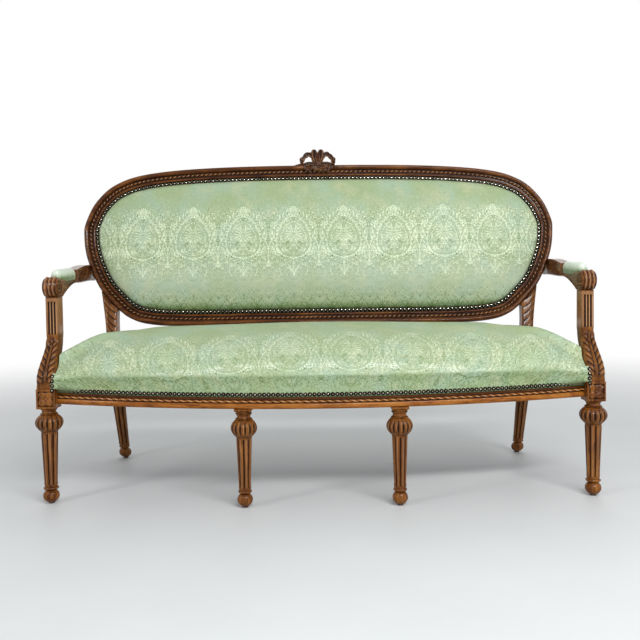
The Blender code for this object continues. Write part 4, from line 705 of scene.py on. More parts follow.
# The back frame's face: its rise w over the middle plane against the inset from the outer edge and the
# way along: half-round torus, quirk, ribbon twist, quirk, bead, and the sunk land for the nails
def frameFace(inset, along, pitch):
    front = back["frameDepth"] / 2
    base = front - back["torusRise"]
    sunk = base - 0.0022
    rise = np.full(np.broadcast(inset, along).shape, sunk)
    inset = np.broadcast_to(inset, rise.shape)
    along = np.broadcast_to(along, rise.shape)
    torus = inset / back["torusWidth"]
    rise = np.where(torus <= 1, base + back["torusRise"] * dome(2 * torus - 1), rise)
    across = (inset - back["twistStart"]) / back["twistWidth"] * 2 - 1
    twist = ribbonTwist(along, np.clip(across, -1, 1), pitch)
    rise = np.where(abs(across) <= 1, sunk + 0.0062 * twist, rise)
    bead = (inset - back["beadStart"]) / back["beadWidth"] * 2 - 1
    rise = np.where(abs(bead) <= 1, sunk + 0.0048 * dome(bead), rise)
    land = front - back["landRise"] - 0.003
    rise = np.where(inset > back["beadStart"] + back["beadWidth"], land, rise)
    # Wax and painted shade in the quirks and on the land under the nails; the twist's leaves by their height,
    # with a painted highlight on their crests
    depth = np.zeros(rise.shape)
    depth = np.where((inset > 0.0165) & (inset < 0.0202), 0.6, depth)
    depth = np.where((inset > 0.0288) & (inset < 0.0327), 0.8, depth)
    depth = np.where(abs(across) <= 1, carvedWaxShadeAndGleam(twist), depth)
    depth = np.where(inset > 0.0405, 0.9, depth)
    return rise, depth


# The four pieces of the back frame: the section swept round the outline between the joints
def carveBackFrame():
    count = int(medallionCurve(64)[3] / back["stationStep"])
    place, inward, run, length = medallionCurve(count)
    pitch = length / round(length / back["twistPitch"])
    insets = np.unique(np.r_[
        0.0004, 0.0012, np.linspace(0.0025, 0.0145, 7), 0.0158, 0.0166, 0.0172, 0.0185, 0.0198,
        np.linspace(0.0203, 0.0287, 9), 0.0292, 0.0308, 0.0323,
        back["beadStart"] + back["beadWidth"] * np.array((0.03, 0.12, 0.3, 0.5, 0.7, 0.88, 0.97)),
        0.0416, 0.043, 0.0555])
    rise, depth = frameFace(insets[None, :], run[:, None], pitch)
    rear = -back["frameDepth"] / 2
    bodyInset = np.concatenate([[0.0, 0.0, 0.0006], insets, [0.056, 0.056, 0.053, 0.003]])
    low = np.full((count, 1), 1.0)
    base = back["frameDepth"] / 2 - back["torusRise"]
    bodyRise = np.hstack([low * (rear + 0.003), low * (base - 0.001), low * base, rise,
                          low * (rise[:, -1:] - 0.0006), low * (rear + 0.002), low * rear, low * rear])
    # Wax and painted shade on the inner edge, under the cloth
    bodyDepth = np.hstack([low * 0, low * 0, low * 0, depth, low * 0.8, low * 0.2, low * 0, low * 0])
    points = place[:, None, :] + inward[:, None, :] * bodyInset[None, :, None]
    grid = backPlace(points[..., 0], points[..., 1], bodyRise)
    topStation = int(np.argmin(np.where(place[:, 1] > 0.3, abs(place[:, 0] - back["topJointX"]), 9)))
    baseStation = int(np.argmin(np.where(place[:, 1] < 0.3, abs(place[:, 0] - back["baseJointX"]), 9)))
    for name, start, stop in (
        ("back_side_right", topStation, baseStation),
        ("back_bottom_rail", baseStation, count - baseStation),
        ("back_side_left", count - baseStation, count - topStation),
        ("back_top_rail", -topStation, topStation),
    ):
        stations = np.arange(start, stop + 1) % count
        part = grid[stations].copy()
        part[0] += (part[1] - part[0]) * 0.1
        part[-1] += (part[-2] - part[-1]) * 0.1
        carve(name, gridShell(part, bodyDepth[stations]), "darkWalnut")
    print("back frame carved:", count, "stations")


carveBackFrame()


# Nails

nail = {"headShare": 0.49, "headRise": 0.0044, "pitch": 0.01255, "backPitch": 0.01405, "sides": 12}


# Domed nail heads: each a spherical cap of twelve sides in six rings, on a place with an outward way.
# Their tops are turned a little by a fixed sequence, as hand-driven nails are
def driveNails(name, places, ways, pitch=nail["pitch"]):
    places, ways = np.asarray(places, float), np.asarray(ways, float)
    ways = ways / np.linalg.norm(ways, axis=1)[:, None]
    tilt = np.stack([np.sin(np.arange(len(places)) * 2.399 + k * 1.7) for k in range(3)], axis=1) * 0.075
    ways = ways + tilt
    ways /= np.linalg.norm(ways, axis=1)[:, None]
    helper = np.where(abs(ways[:, 2:3]) > 0.9, np.array([[1.0, 0, 0]]), np.array([[0, 0, 1.0]]))
    first = np.cross(helper, ways)
    first /= np.linalg.norm(first, axis=1)[:, None]
    second = np.cross(ways, first)
    turns = turnsRound(nail["sides"])
    levels = np.array(((0.94, -0.14), (1.0, 0.06), (0.93, 0.38), (0.72, 0.72), (0.4, 0.93), (0.1, 1.0)))
    radius = levels[:, 0] * nail["headShare"] * pitch
    rises = np.broadcast_to(levels[:, 1:] * nail["headRise"], (len(levels), len(turns)))
    rings = (first[:, None, None, :] * (radius[:, None] * np.cos(turns))[None, :, :, None]
             + second[:, None, None, :] * (radius[:, None] * np.sin(turns))[None, :, :, None]
             + ways[:, None, None, :] * rises[None, :, :, None] + places[:, None, None, :])
    # Ring levels for the brass: 1 at the foot, near black as a painted shade between the nails, 0 at the
    # crown, bright as rubbed brass and a painted highlight
    depth = np.broadcast_to(np.array((1.0, 0.85, 0.5, 0.25, 0.1, 0.0))[:, None], rings.shape[1:3])
    shell = newShell()
    for grid in rings:
        addGrid(shell, grid, depth)
    return makePiece(name, shell, brass, sharp=math.radians(75))


# Even places along a line of points, one pitch apart, as near as its length allows
def evenPlaces(line, pitch, closed=False):
    line = np.asarray(line, float)
    if closed:
        line = np.vstack([line, line[:1]])
    run = np.r_[0, np.cumsum(np.linalg.norm(np.diff(line, axis=0), axis=1))]
    count = max(2, round(run[-1] / pitch) + (0 if closed else 1))
    steps = np.linspace(0, run[-1], count, endpoint=not closed)
    return np.stack([np.interp(steps, run, line[:, k]) for k in range(line.shape[1])], axis=1)


def nailTheBack():
    place, inward, _, _ = medallionCurve(900)
    for name, inset, rise, facing in (("back_nails", 0.049, 0.0108, 1),
                                      ("outside_back_nails", 0.0385, -0.0208, -1)):
        edge = place + inward * inset
        spots = evenPlaces(edge, nail["backPitch"], True)
        ways = (backPlace(0, 0, 1.0) - backPlace(0, 0, 0.0)) * facing
        driveNails(name, backPlace(spots[:, 0], spots[:, 1], rise), np.broadcast_to(ways, (len(spots), 3)),
                   nail["backPitch"])


nailTheBack()
print("nails driven round the back")


# Padded cloth

padding = {
    "seat": {"voxel": 0.0085, "pressure": 4.0, "cap": 0.012, "frames": 20, "fill": 0.85},
    "back": {"voxel": 0.008, "pressure": 4.0, "cap": 0.009, "frames": 20, "fill": 0.8},
    "pad": {"voxel": 0.004, "pressure": 3.0, "cap": 0.004, "frames": 20, "fill": 0.9},
}


# An object of one grid, to be worked on before it is a piece
def looseObject(name, grid):
    shell = gridShell(grid)
    mesh = bpy.data.meshes.new(name)
    faces = [row.tolist() for face in shell["faces"] for row in face]
    mesh.from_pydata((shell["points"][0] + legLine).tolist(), [], faces)
    loose = bpy.data.objects.new(name, mesh)
    bpy.context.scene.collection.objects.link(loose)
    return loose


# A closed pillow of rings, remeshed and blown up as cloth under pressure with its lower edge held;
# no point moves more than the cap. Gives the finished mesh's points and faces
def blowPadding(name, rings, how, heldShare):
    piece = looseObject(name, rings)
    remesh = piece.modifiers.new("voxels", "REMESH")
    remesh.mode = "VOXEL"
    remesh.voxel_size = how["voxel"]
    remesh.use_smooth_shade = True
    graph = bpy.context.evaluated_depsgraph_get()
    even = bpy.data.meshes.new_from_object(piece.evaluated_get(graph))
    piece.modifiers.clear()
    piece.data = even
    rest = meshPoints(even)
    held = piece.vertex_groups.new(name="held")
    share = heldShare(rest - legLine)
    for level in (0.25, 0.5, 0.75, 1.0):
        picked = np.nonzero((share > level - 0.25) & (share <= level))[0]
        held.add([int(k) for k in picked], level, "REPLACE")
    cloth = piece.modifiers.new("cloth", "CLOTH")
    settings = cloth.settings
    settings.quality = 5
    settings.mass = 0.4
    settings.tension_stiffness = settings.compression_stiffness = 25
    settings.shear_stiffness = 8
    settings.bending_stiffness = 1.5
    settings.air_damping = 4
    settings.use_pressure = True
    settings.uniform_pressure_force = how["pressure"]
    settings.effector_weights.gravity = 0
    settings.vertex_group_mass = "held"
    cloth.collision_settings.use_collision = False
    cloth.point_cache.frame_start = 1
    cloth.point_cache.frame_end = how["frames"]
    scene = bpy.context.scene
    for step in range(1, how["frames"] + 1):
        scene.frame_set(step)
    graph = bpy.context.evaluated_depsgraph_get()
    blown = bpy.data.meshes.new_from_object(piece.evaluated_get(graph))
    moved = meshPoints(blown) - rest
    size = np.linalg.norm(moved, axis=1)[:, None]
    moved *= np.minimum(1, how["cap"] / np.maximum(size, 1e-9))
    piece.modifiers.clear()
    setMeshPoints(even, rest + moved)
    scene.frame_set(1)
    print(name, "blown up, most moved", round(float(size.max()) * 1000, 1), "mm")
    return piece


# Rings of a pillow: its outline drawn in towards a spine while it rises along a profile
def pillowRings(outline, spine, profile, steps):
    reachShares = np.array([item[0] for item in profile])
    riseShares = np.array([item[1] for item in profile])
    run = np.r_[0, np.cumsum(np.hypot(np.diff(reachShares) * 0.26, np.diff(riseShares) * 0.14))]
    even = np.linspace(0, run[-1], steps)
    # A smooth curve through the profile's points
    reach = splineThrough(run, reachShares, even)
    rise = splineThrough(run, riseShares, even)
    place = spine[None] + (outline - spine)[None] * reach[:, None, None]
    return place, rise


# Values of the smooth (Catmull-Rom) curve through given values at given places
def splineThrough(places, values, wanted):
    slopes = np.gradient(values, places)
    k = np.clip(np.searchsorted(places, wanted, side="right") - 1, 0, len(places) - 2)
    gap = places[k + 1] - places[k]
    t = (wanted - places[k]) / gap
    return ((2 * t ** 3 - 3 * t ** 2 + 1) * values[k] + (t ** 3 - 2 * t ** 2 + t) * gap * slopes[k]
            + (3 * t ** 2 - 2 * t ** 3) * values[k + 1] + (t ** 3 - t ** 2) * gap * slopes[k + 1])


# Takes off what lies below a plane and leaves the cut open
def trimBelow(mesh, point, normal):
    shape = bmesh.new()
    shape.from_mesh(mesh)
    bmesh.ops.bisect_plane(shape, geom=shape.verts[:] + shape.edges[:] + shape.faces[:], plane_co=point,
                           plane_no=normal, clear_inner=True)
    bmesh.ops.recalc_face_normals(shape, faces=shape.faces[:])
    shape.to_mesh(mesh)
    shape.free()


# Reads and writes a mesh's points as one array
def meshPoints(mesh):
    points = np.empty(len(mesh.vertices) * 3)
    mesh.vertices.foreach_get("co", points)
    return points.reshape(-1, 3)


def meshNormals(mesh):
    normals = np.empty(len(mesh.vertices) * 3)
    mesh.vertex_normals.foreach_get("vector", normals)
    return normals.reshape(-1, 3)


def setMeshPoints(mesh, points):
    mesh.vertices.foreach_set("co", points.astype(np.float32).ravel())
    mesh.update()


# Applies an object's modifiers into its mesh
def bakeModifiers(piece):
    graph = bpy.context.evaluated_depsgraph_get()
    baked = bpy.data.meshes.new_from_object(piece.evaluated_get(graph))
    piece.modifiers.clear()
    piece.data = baked


# One level of Subdivision Surface, applied
def roundOff(piece):
    divide = piece.modifiers.new("rounder", "SUBSURF")
    divide.levels = divide.render_levels = 1
    bakeModifiers(piece)


# Makes an open cover into finished cloth: smooth, 2 mm thick, with its flat place for the damask
def finishCover(piece, flatPlace, material, replaced, cutters=(), fade=None, soil=None):
    thick = piece.modifiers.new("thickness", "SOLIDIFY")
    thick.thickness = 0.002
    thick.offset = -1
    for cutter in cutters:
        cut = piece.modifiers.new("clear", "BOOLEAN")
        cut.operation = "DIFFERENCE"
        cut.solver = "EXACT"
        cut.object = cutter
    bakeModifiers(piece)
    for cutter in cutters:
        bpy.data.objects.remove(cutter, do_unlink=True)
    layCloth(piece, flatPlace, fade, soil)
    mesh = piece.data
    mesh.materials.clear()
    mesh.materials.append(material)
    mesh.shade_smooth()
    mesh.set_sharp_from_angle(angle=math.radians(60))
    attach(piece, "root")
    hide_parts(*replaced)


# Writes the flat cloth's place into a mesh, for the damask to follow, and how much it is lightened and
# darkened: lighter as a painted highlight on the pads and in a paler band on the back, darker for dust
# and painted shade
def layCloth(piece, flatPlace, fade=None, soil=None):
    spots = meshPoints(piece.data) - legLine
    attribute = piece.data.attributes.new("clothPlace", "FLOAT_VECTOR", "POINT")
    attribute.data.foreach_set("vector", flatPlace(spots).astype(np.float32).ravel())
    for name, share in (("clothFade", fade), ("clothSoil", soil)):
        if share is not None:
            attribute = piece.data.attributes.new(name, "FLOAT", "POINT")
            attribute.data.foreach_set("value", share(spots).astype(np.float32))


# Soft folds: even sums of sines, the same every run, running down from a nailed edge
def foldWaves(along, seed):
    waves = np.zeros(along.shape)
    for k, (length, strength) in enumerate(((0.093, 1.0), (0.061, 0.8), (0.041, 0.7), (0.027, 0.5),
                                            (0.149, 0.9))):
        waves += strength * np.sin(2 * math.pi * along / length + seed * (k + 1) * 1.93)
    return waves / 3.9


backPad = {"edgeInset": 0.0525, "landRise": 0.0083, "crownRise": 0.05, "spineHalf": 0.56, "stations": 420}
backProfile = ((1.000, 0.000), (0.99, 0.15), (0.968, 0.33), (0.915, 0.52), (0.82, 0.7), (0.66, 0.86),
               (0.4, 0.965), (0.15, 0.995), (0.000, 1.000))


def upholsterBack():
    place, inward, _, _ = medallionCurve(backPad["stations"])
    outline = place + inward * backPad["edgeInset"]
    middle = back["height"] / 2
    half = back["halfWidth"] - backPad["edgeInset"]
    mirror = (backPad["stations"] // 2 - np.arange(backPad["stations"])) % backPad["stations"]
    spineX = (outline[:, 0] + outline[mirror, 0]) / 2 * backPad["spineHalf"] / half
    spine = joined(spineX, middle)
    rings, rise = pillowRings(outline, spine, backProfile, 30)
    low, high = backPad["landRise"], backPad["crownRise"]
    high -= 0.004  # it starts smaller and swells
    grid = backPlace(rings[..., 0], rings[..., 1], (low + (high - low) * rise)[:, None])
    under = backPlace(outline[:, 0], outline[:, 1], low - 0.022)
    grid = np.vstack([under[None], grid])

    def held(points):
        w = backHeight(points)
        return limit(1.6 - (w - low) / 0.012)

    piece = blowPadding("back_cushion", grid, padding["back"], held)
    facing = backPlace(0, 0, 1.0) - backPlace(0, 0, 0.0)
    base = backPlace(0, 0, low + 0.0008) + legLine
    trimBelow(piece.data, Vector(base), Vector(facing))
    roundOff(piece)
    points = meshPoints(piece.data) - legLine
    w = backHeight(points)
    s = backRun(points)
    # Pulls from the nails: short folds square to the edge, most above and below, dying out up the crown
    near = np.exp(-limit(w - low) / 0.01) * limit((w - low) / 0.004)
    folds = foldWaves(points[:, 0] + 0.05 * np.sin(9 * points[:, 0]), np.where(s > middle, 1.0, 2.3))
    long = bell(s - 0.48, 0.1) * foldWaves(points[:, 0] * 0.9, 3.1)
    out = 0.0016 * near * folds + 0.0012 * long * limit((w - low) / 0.01)
    points = points + out[:, None] * facing[None]
    setMeshPoints(piece.data, points + legLine)

    # The flat edge of the cloth under the nails, from the bead to where the cushion rises
    dense, inwardDense, _, _ = medallionCurve(900)
    insets = np.array((0.0432, 0.0434, 0.047, 0.0505, 0.053, 0.053, 0.0434, 0.0432))
    levels = np.array((0.0088, 0.0103, 0.0105, 0.0104, 0.0108, 0.0084, 0.0084, 0.0086))
    skirt = dense[:, None] + inwardDense[:, None] * insets[None, :, None]
    hem = gridShell(backPlace(skirt[..., 0], skirt[..., 1], levels[None]), wrapAlong=True)
    edge = makePiece("back_cloth_edge", hem, backDamask)
    # The edge cloth is darkened all over: dust and painted shade under and between the nails
    layCloth(edge, backFlat, soil=lambda spots: np.full(len(spots), 0.78))
    # Lighter in a band low across the back; darker towards the nailed edge, dust and painted shade in the
    # crease
    finishCover(piece, backFlat, backDamask, ("back_cover", "back_stuffing"),
                fade=lambda spots: 0.15 * hump(backRun(spots) - 0.15, 0.08),
                soil=lambda spots: 0.8 * (1 - ease((backHeight(spots) - low) / 0.011)))


# Height out of the back's plane and the way up it, for any points
def backHeight(points):
    y, z = points[:, 1] - back["baseY"], points[:, 2] - back["baseZ"]
    return z * math.sin(back["lean"]) - y * math.cos(back["lean"])


def backRun(points):
    y, z = points[:, 1] - back["baseY"], points[:, 2] - back["baseZ"]
    return y * math.sin(back["lean"]) + z * math.cos(back["lean"])


# Flat place of the back's cloth, inside and out
def backFlat(points):
    return joined(points[:, 0], backRun(points) - back["patternMiddle"], 0)


upholsterBack()
print("back upholstered")


# Seat

seat = {
    "cornerX": 0.7835,
    "frontHalf": 0.7565,
    "bow": 0.0965,
    "sag": 0.009,
    "faceY": -0.004,
    "blockHalf": 0.027,
    "sideFrontX": 0.8025,
    "sideRearX": 0.7475,
    "rearBlockX": 0.724,
    "rearBlockY": 0.5,
    "rearBlockHalf": 0.0275,
    "railBase": 0.287,
    "hemBase": 0.32,
    "footZ": 0.3473,
    "crownZ": 0.506,
    "spineHalf": 0.43,
    "spineY": 0.20175,
    "coverInset": 0.0031,
    "rearY": 0.5207,
    "patternShift": 0.065,
    "profileReach": 0.31,     # from the spine to the seat's edge, on which the cover's profile is measured
    "pressedFrom": 0.575,
    "settle": 0.0075,
}
seatProfile = ((1.000, 0.000), (1.024, 0.13), (1.018, 0.24), (0.978, 0.37), (0.905, 0.51), (0.8, 0.65),
               (0.65, 0.8), (0.42, 0.93), (0.000, 1.000))
# In front the cloth rolls over lower, and runs up to the crown in a longer slope
frontProfile = ((1.000, 0.000), (1.024, 0.125), (1.02, 0.235), (0.98, 0.345), (0.915, 0.44), (0.815, 0.545),
                (0.66, 0.68), (0.42, 0.86), (0.000, 1.000))


# The bow of the front rail's face, and how far its moulding and the hem hang below their corners
def frontFace(x):
    return seat["faceY"] - seat["bow"] * (1 - np.minimum(abs(x) / seat["frontHalf"], 1) ** 2)


def frontDroop(x):
    return seat["sag"] * (1 - np.minimum(abs(x) / seat["frontHalf"], 1) ** 2)


# The side rail's outer face, a straight line from the front block to the rear one
def sideFace(y):
    start, end = seat["blockHalf"], seat["rearBlockY"] - seat["rearBlockHalf"]
    return seat["sideFrontX"] + (seat["sideRearX"] - seat["sideFrontX"]) * (y - start) / (end - start)


# Plan of the seat's edge and of the spine that each of its points is drawn in towards
def seatPlan(frontCount, sideCount):
    inset = seat["coverInset"]
    reach, rearHalf = sideFace(0.0) - inset, sideFace(seat["rearY"]) - inset
    shares = np.linspace(-1, 1, frontCount)
    steps = np.linspace(0, 1, sideCount + 2)[1:-1]
    frontY = frontFace(shares * reach) + inset
    front = joined(shares * reach, frontY)
    right = joined(reach + (rearHalf - reach) * steps, frontY[-1] + (seat["rearY"] - frontY[-1]) * steps)
    rear = joined(shares[::-1] * rearHalf, seat["rearY"])
    left = right[::-1] * (-1, 1)
    edge = np.vstack([front, right, rear, left])
    half = seat["spineHalf"]
    spineX = np.r_[shares * half, np.full(sideCount, half), shares[::-1] * half, np.full(sideCount, -half)]
    return edge, joined(spineX, seat["spineY"])


# Flat place of the seat's cloth: the point's own ray out from the spine, at the length along the
# cover's profile that the point has come, so that the damask runs over the edge unstretched
def seatFlat(points):
    x, y, z = points[:, 0], points[:, 1], points[:, 2]
    half, middleY = seat["spineHalf"], seat["spineY"]
    frontward = y < middleY
    sign = np.sign(x) + (x == 0)
    reach = np.where(frontward, sideFace(0.0), sideFace(seat["rearY"])) - seat["coverInset"]
    u = x / 0.7
    for _ in range(12):
        edgeY = np.where(frontward, frontFace(np.clip(u, -1, 1) * reach) + seat["coverInset"], seat["rearY"])
        share = (y - middleY) / (edgeY - middleY)
        u = 0.5 * u + 0.5 * x / (half + (reach - half) * np.clip(share, 0, 1.1))
    cornerY = np.where(frontward, frontFace(0.8) + seat["coverInset"], seat["rearY"])
    side = abs(u) > 1
    sideX = sideFace(y) - seat["coverInset"]
    outward = np.maximum(abs(x) - half, 1e-6)
    sideShare = outward / (sideX - half)
    middle = joined(np.where(side, sign * half, np.clip(u, -1, 1) * half), middleY)
    edge = joined(np.where(side, sign * sideX, np.clip(u, -1, 1) * reach),
                  np.where(side, middleY + (y - middleY) / np.maximum(sideShare, 1e-3), edgeY))
    edge[:, 1] = np.where(side, np.clip(edge[:, 1], np.minimum(cornerY, seat["rearY"]) - 0.2, seat["rearY"]),
                          edge[:, 1])
    share = np.where(side, sideShare, np.clip(share, 0, 1.1))
    way = edge - middle
    wide = np.linalg.norm(way, axis=1)
    way /= wide[:, None]
    tall = seat["crownZ"] - seat["footZ"]
    run = np.linspace(0, 8, 161)
    reachLine = splineThrough(np.arange(9.0), np.array([item[0] for item in frontProfile])[::-1], run)
    reachLine *= seat["profileReach"]
    riseLine = splineThrough(np.arange(9.0), np.array([item[1] for item in frontProfile])[::-1], run) * tall
    length = np.r_[0, np.cumsum(np.hypot(np.diff(reachLine), np.diff(riseLine)))]
    here = joined(share * seat["profileReach"], z - seat["footZ"])
    nearest = np.empty(len(x), int)
    for start in range(0, len(x), 20000):
        part = here[start:start + 20000]
        gap = (part[:, :1] - reachLine) ** 2 + (part[:, 1:] - riseLine) ** 2
        nearest[start:start + 20000] = gap.argmin(axis=1)
    low, high = np.maximum(nearest - 1, 0), np.minimum(nearest + 1, 160)
    step = joined(reachLine[high] - reachLine[low], riseLine[high] - riseLine[low])
    step /= np.linalg.norm(step, axis=1)[:, None]
    past = (here[:, 0] - reachLine[nearest]) * step[:, 0] + (here[:, 1] - riseLine[nearest]) * step[:, 1]
    come = length[nearest] + past
    come = np.where(z < seat["footZ"], length[-1] + seat["footZ"] - z, come)
    flat = middle + way * (come * wide / seat["profileReach"])[:, None]
    return joined(flat[:, 0], flat[:, 1] + seat["patternShift"], 0)


# Cutters that clear the arm posts and the stiles, as closed prisms
def seatCutters():
    gap = 0.0012
    made = []
    levels = np.linspace(0.333, post["topZ"], 10)
    rearY = postCentreY(levels) + postDepth(levels) / 2 + gap
    plan = np.vstack([[(-0.12, 0.27), (0.0282, 0.27), (0.0282, 0.333)],
                      joined(rearY, levels)[1:], [(-0.12, post["topZ"])]])
    innerX, outerX = seat["cornerX"] - 0.0265 - gap, 0.9
    stileX, stileY = 0.695 - gap, 0.4725 - gap
    box = np.array(((stileY, 0.27), (0.6, 0.27), (0.6, 0.8), (stileY, 0.8)))
    for sign in (-1, 1):
        for shape, inner in ((plan, innerX), (box, stileX)):
            ring = np.stack([joined(sign * x, *shape.T) for x in (inner, outerX)])
            made.append(looseObject("clearance", ring))
    return made


post = {"width": 0.053, "topWidth": 0.037, "drawIn": 0.003, "footDepth": 0.05, "topDepth": 0.046,
        "sweep": 0.058, "sweepStart": 0.355, "sweepHeight": 0.12, "footZ": 0.3333, "topZ": 0.594}


# The post's narrowing runs from 0 at its foot to 1 where the S-sweep ends, and its middle sweeps back with it
def postNarrowing(z):
    return ease((z - post["sweepStart"]) / post["sweepHeight"])


def postCentreY(z):
    return post["sweep"] * postNarrowing(z)


def postDepth(z):
    rise = ease((z - 0.333) / (post["topZ"] - 0.333))
    return post["footDepth"] + (post["topDepth"] - post["footDepth"]) * rise


# 1 along the seat's front and 0 from a hand's width behind it
def atFront(y):
    return ease((0.1 - y) / 0.08)


# Dust and painted shade along the seat's hem, just above the nails
def seatHemDustAndShade(points):
    return 0.75 * (1 - ease((points[:, 2] + frontDroop(points[:, 0]) - 0.3265) / 0.006))


def upholsterSeat():
    edge, spine = seatPlan(121, 40)
    rings, rise = pillowRings(edge, spine, seatProfile, 34)
    frontRings, frontRise = pillowRings(edge, spine, frontProfile, 34)
    toFront = ease((0.66 - abs(edge[:, 0])) / 0.3) * (edge[:, 1] < 0.1)
    rings = rings + (frontRings - rings) * toFront[None, :, None]
    crown = seat["crownZ"] - 0.006  # it starts smaller and swells
    rises = rise[:, None] + (frontRise - rise)[:, None] * toFront[None]
    height = seat["footZ"] + (crown - seat["footZ"]) * rises
    grid = np.concatenate([rings, height[..., None]], axis=2)
    hems = [np.column_stack([edge, np.full(len(edge), z)]) for z in (0.28, 0.3, 0.325)]
    grid = np.vstack([np.stack(hems), grid])
    piece = blowPadding("seat_cushion", grid, padding["seat"],
                        lambda points: limit((0.372 - points[:, 2]) / 0.02))
    points = meshPoints(piece.data) - legLine
    droop = frontDroop(points[:, 0]) * atFront(points[:, 1])
    points[:, 2] += droop
    corner = (1 - ease((points[:, 2] - 0.352) / 0.055)) * ease((points[:, 2] - 0.322) / 0.014)
    points[:, 1] -= 0.0215 * corner * ease((abs(points[:, 0]) - 0.66) / 0.09) * atFront(points[:, 1])
    setMeshPoints(piece.data, points + legLine)
    trimBelow(piece.data, Vector((0, 0, seat["hemBase"])), Vector((0, 0, 1)))
    points = meshPoints(piece.data) - legLine
    droop = frontDroop(points[:, 0]) * atFront(points[:, 1])
    points[:, 2] -= droop * ease((0.36 - points[:, 2]) / 0.02)
    setMeshPoints(piece.data, points + legLine)
    roundOff(piece)
    points = meshPoints(piece.data)
    normals = meshNormals(piece.data)
    x, y, z = points[:, 0], points[:, 1] - legLineY, points[:, 2]
    # Pulls from the nails: upright folds that die out up the side, and slack crossing the top's front
    above = z - (seat["hemBase"] - frontDroop(x))
    near = np.exp(-limit(above) / 0.04) * limit(above / 0.014)
    along = np.where(abs(normals[:, 1]) > abs(normals[:, 0]), x, y + 5.0)
    folds = foldWaves(along + 0.1 * (z - 0.34), 1.7)
    slack = bell(z - 0.435, 0.03) * foldWaves(along * 0.8 + 0.4 * z, 4.2)
    out = 0.0022 * near * folds + 0.0014 * slack
    # The crown is lower towards the sides, where sitters have pressed it
    sides = abs(x) - seat["pressedFrom"]
    pressed = (seat["settle"] * (1 - ease(sides / 0.08))
               + 0.008 * ease(abs(x) / 0.55) * (1 - ease(sides / 0.09)))
    points[:, 2] -= pressed * ease((z - 0.43) / 0.06)
    setMeshPoints(piece.data, points + normals * out[:, None])
    finishCover(piece, seatFlat, seatDamask, ("seat_cover", "seat_stuffing"),
                seatCutters(), soil=seatHemDustAndShade)


upholsterSeat()
print("seat upholstered")


# Seat rails

rail = {"twistPitch": 0.0217, "step": 0.0018, "frontDepth": 0.045, "sideDepth": 0.04}


# A seat rail's moulded face: its depth behind the rail's face against the height over its base, and the way
# along. Rounded lower band, quirk, ribbon twist, quirk, hollow cove, and the rebate that the cloth covers
def railFace(height, along):
    height, along = np.broadcast_arrays(height, along)
    sunk = np.full(height.shape, 0.006)
    band = (height - 0.008) / 0.008
    sunk = np.where(height <= 0.0155, 0.0052 * (1 - np.sqrt(limit(1 - band ** 2 * 0.96))), sunk)
    sunk = np.where((height > 0.0155) & (height < 0.0176), 0.005, sunk)
    across = (height - 0.0207) / 0.003
    twist = ribbonTwist(along, np.clip(across, -1, 1), rail["twistPitch"])
    sunk = np.where(abs(across) <= 1, 0.005 - 0.0048 * twist, sunk)
    sunk = np.where((height > 0.0238) & (height < 0.0262), 0.0056, sunk)
    cove = (height - 0.0262) / 0.0058
    sunk = np.where((cove >= 0) & (cove <= 1), 0.0046 - 0.003 * limit(cove) ** 2, sunk)
    # Wax and painted shade in the quirks, the cove and the rebate under the cloth; the twist by its height,
    # with a painted highlight on its crests
    depth = np.where((height > 0.0148) & (height < 0.0178), 0.85, 0.0)
    depth = np.where((height > 0.0236) & (height < 0.027), 0.85, depth)
    depth = np.where(abs(across) <= 1, carvedWaxShadeAndGleam(twist, 0.85, 0.45), depth)
    depth = np.where((height >= 0.027) & (height < 0.0325), 0.62, depth)
    return sunk, np.where(height > 0.0322, 0.9, depth)


def carveRails():
    heights = np.r_[0.0002, 0.001, 0.0024, 0.0048, 0.008, 0.0112, 0.0134, 0.0147, 0.0154, 0.0158, 0.0175,
                    np.linspace(0.0178, 0.0236, 9), 0.0241, 0.0258, 0.0263, 0.028, 0.0298, 0.0312,
                    0.032, 0.0323, 0.04]
    count = int(2 * seat["frontHalf"] / rail["step"])
    x = np.linspace(-seat["frontHalf"] + 0.0003, seat["frontHalf"] - 0.0003, count)
    run = np.r_[0, np.cumsum(np.hypot(np.diff(x), np.diff(frontFace(x))))]

    # The section from base over face to top: depth behind the rail's face, height and carved depth
    def section(run, depth):
        sunk, deep = railFace(heights[None], run[:, None])
        plain = np.zeros((len(run), 1))
        return (np.hstack([plain + depth, plain + 0.004, sunk, plain + 0.006, plain + depth]),
                np.hstack([plain, plain, plain + heights, plain + 0.06, plain + 0.06]),
                np.hstack([plain, plain, deep, plain + 0.9, plain]))

    behind, up, deep = section(run, rail["frontDepth"])
    up[:, :-2] -= frontDroop(x)[:, None]
    grid = joined(x[:, None], frontFace(x)[:, None] + behind, seat["railBase"] + up)
    carve("front_rail", gridShell(grid, deep), "railWalnut")
    y = np.linspace(0.0273, 0.4722, 250)
    behind, up, deep = section(y, rail["sideDepth"])
    for side, sign in bothSides:
        grid = joined(sign * (sideFace(y)[:, None] - behind), y[:, None], seat["railBase"] + up)
        carve(f"side_rail_{side}", gridShell(grid, deep), "armWalnut")


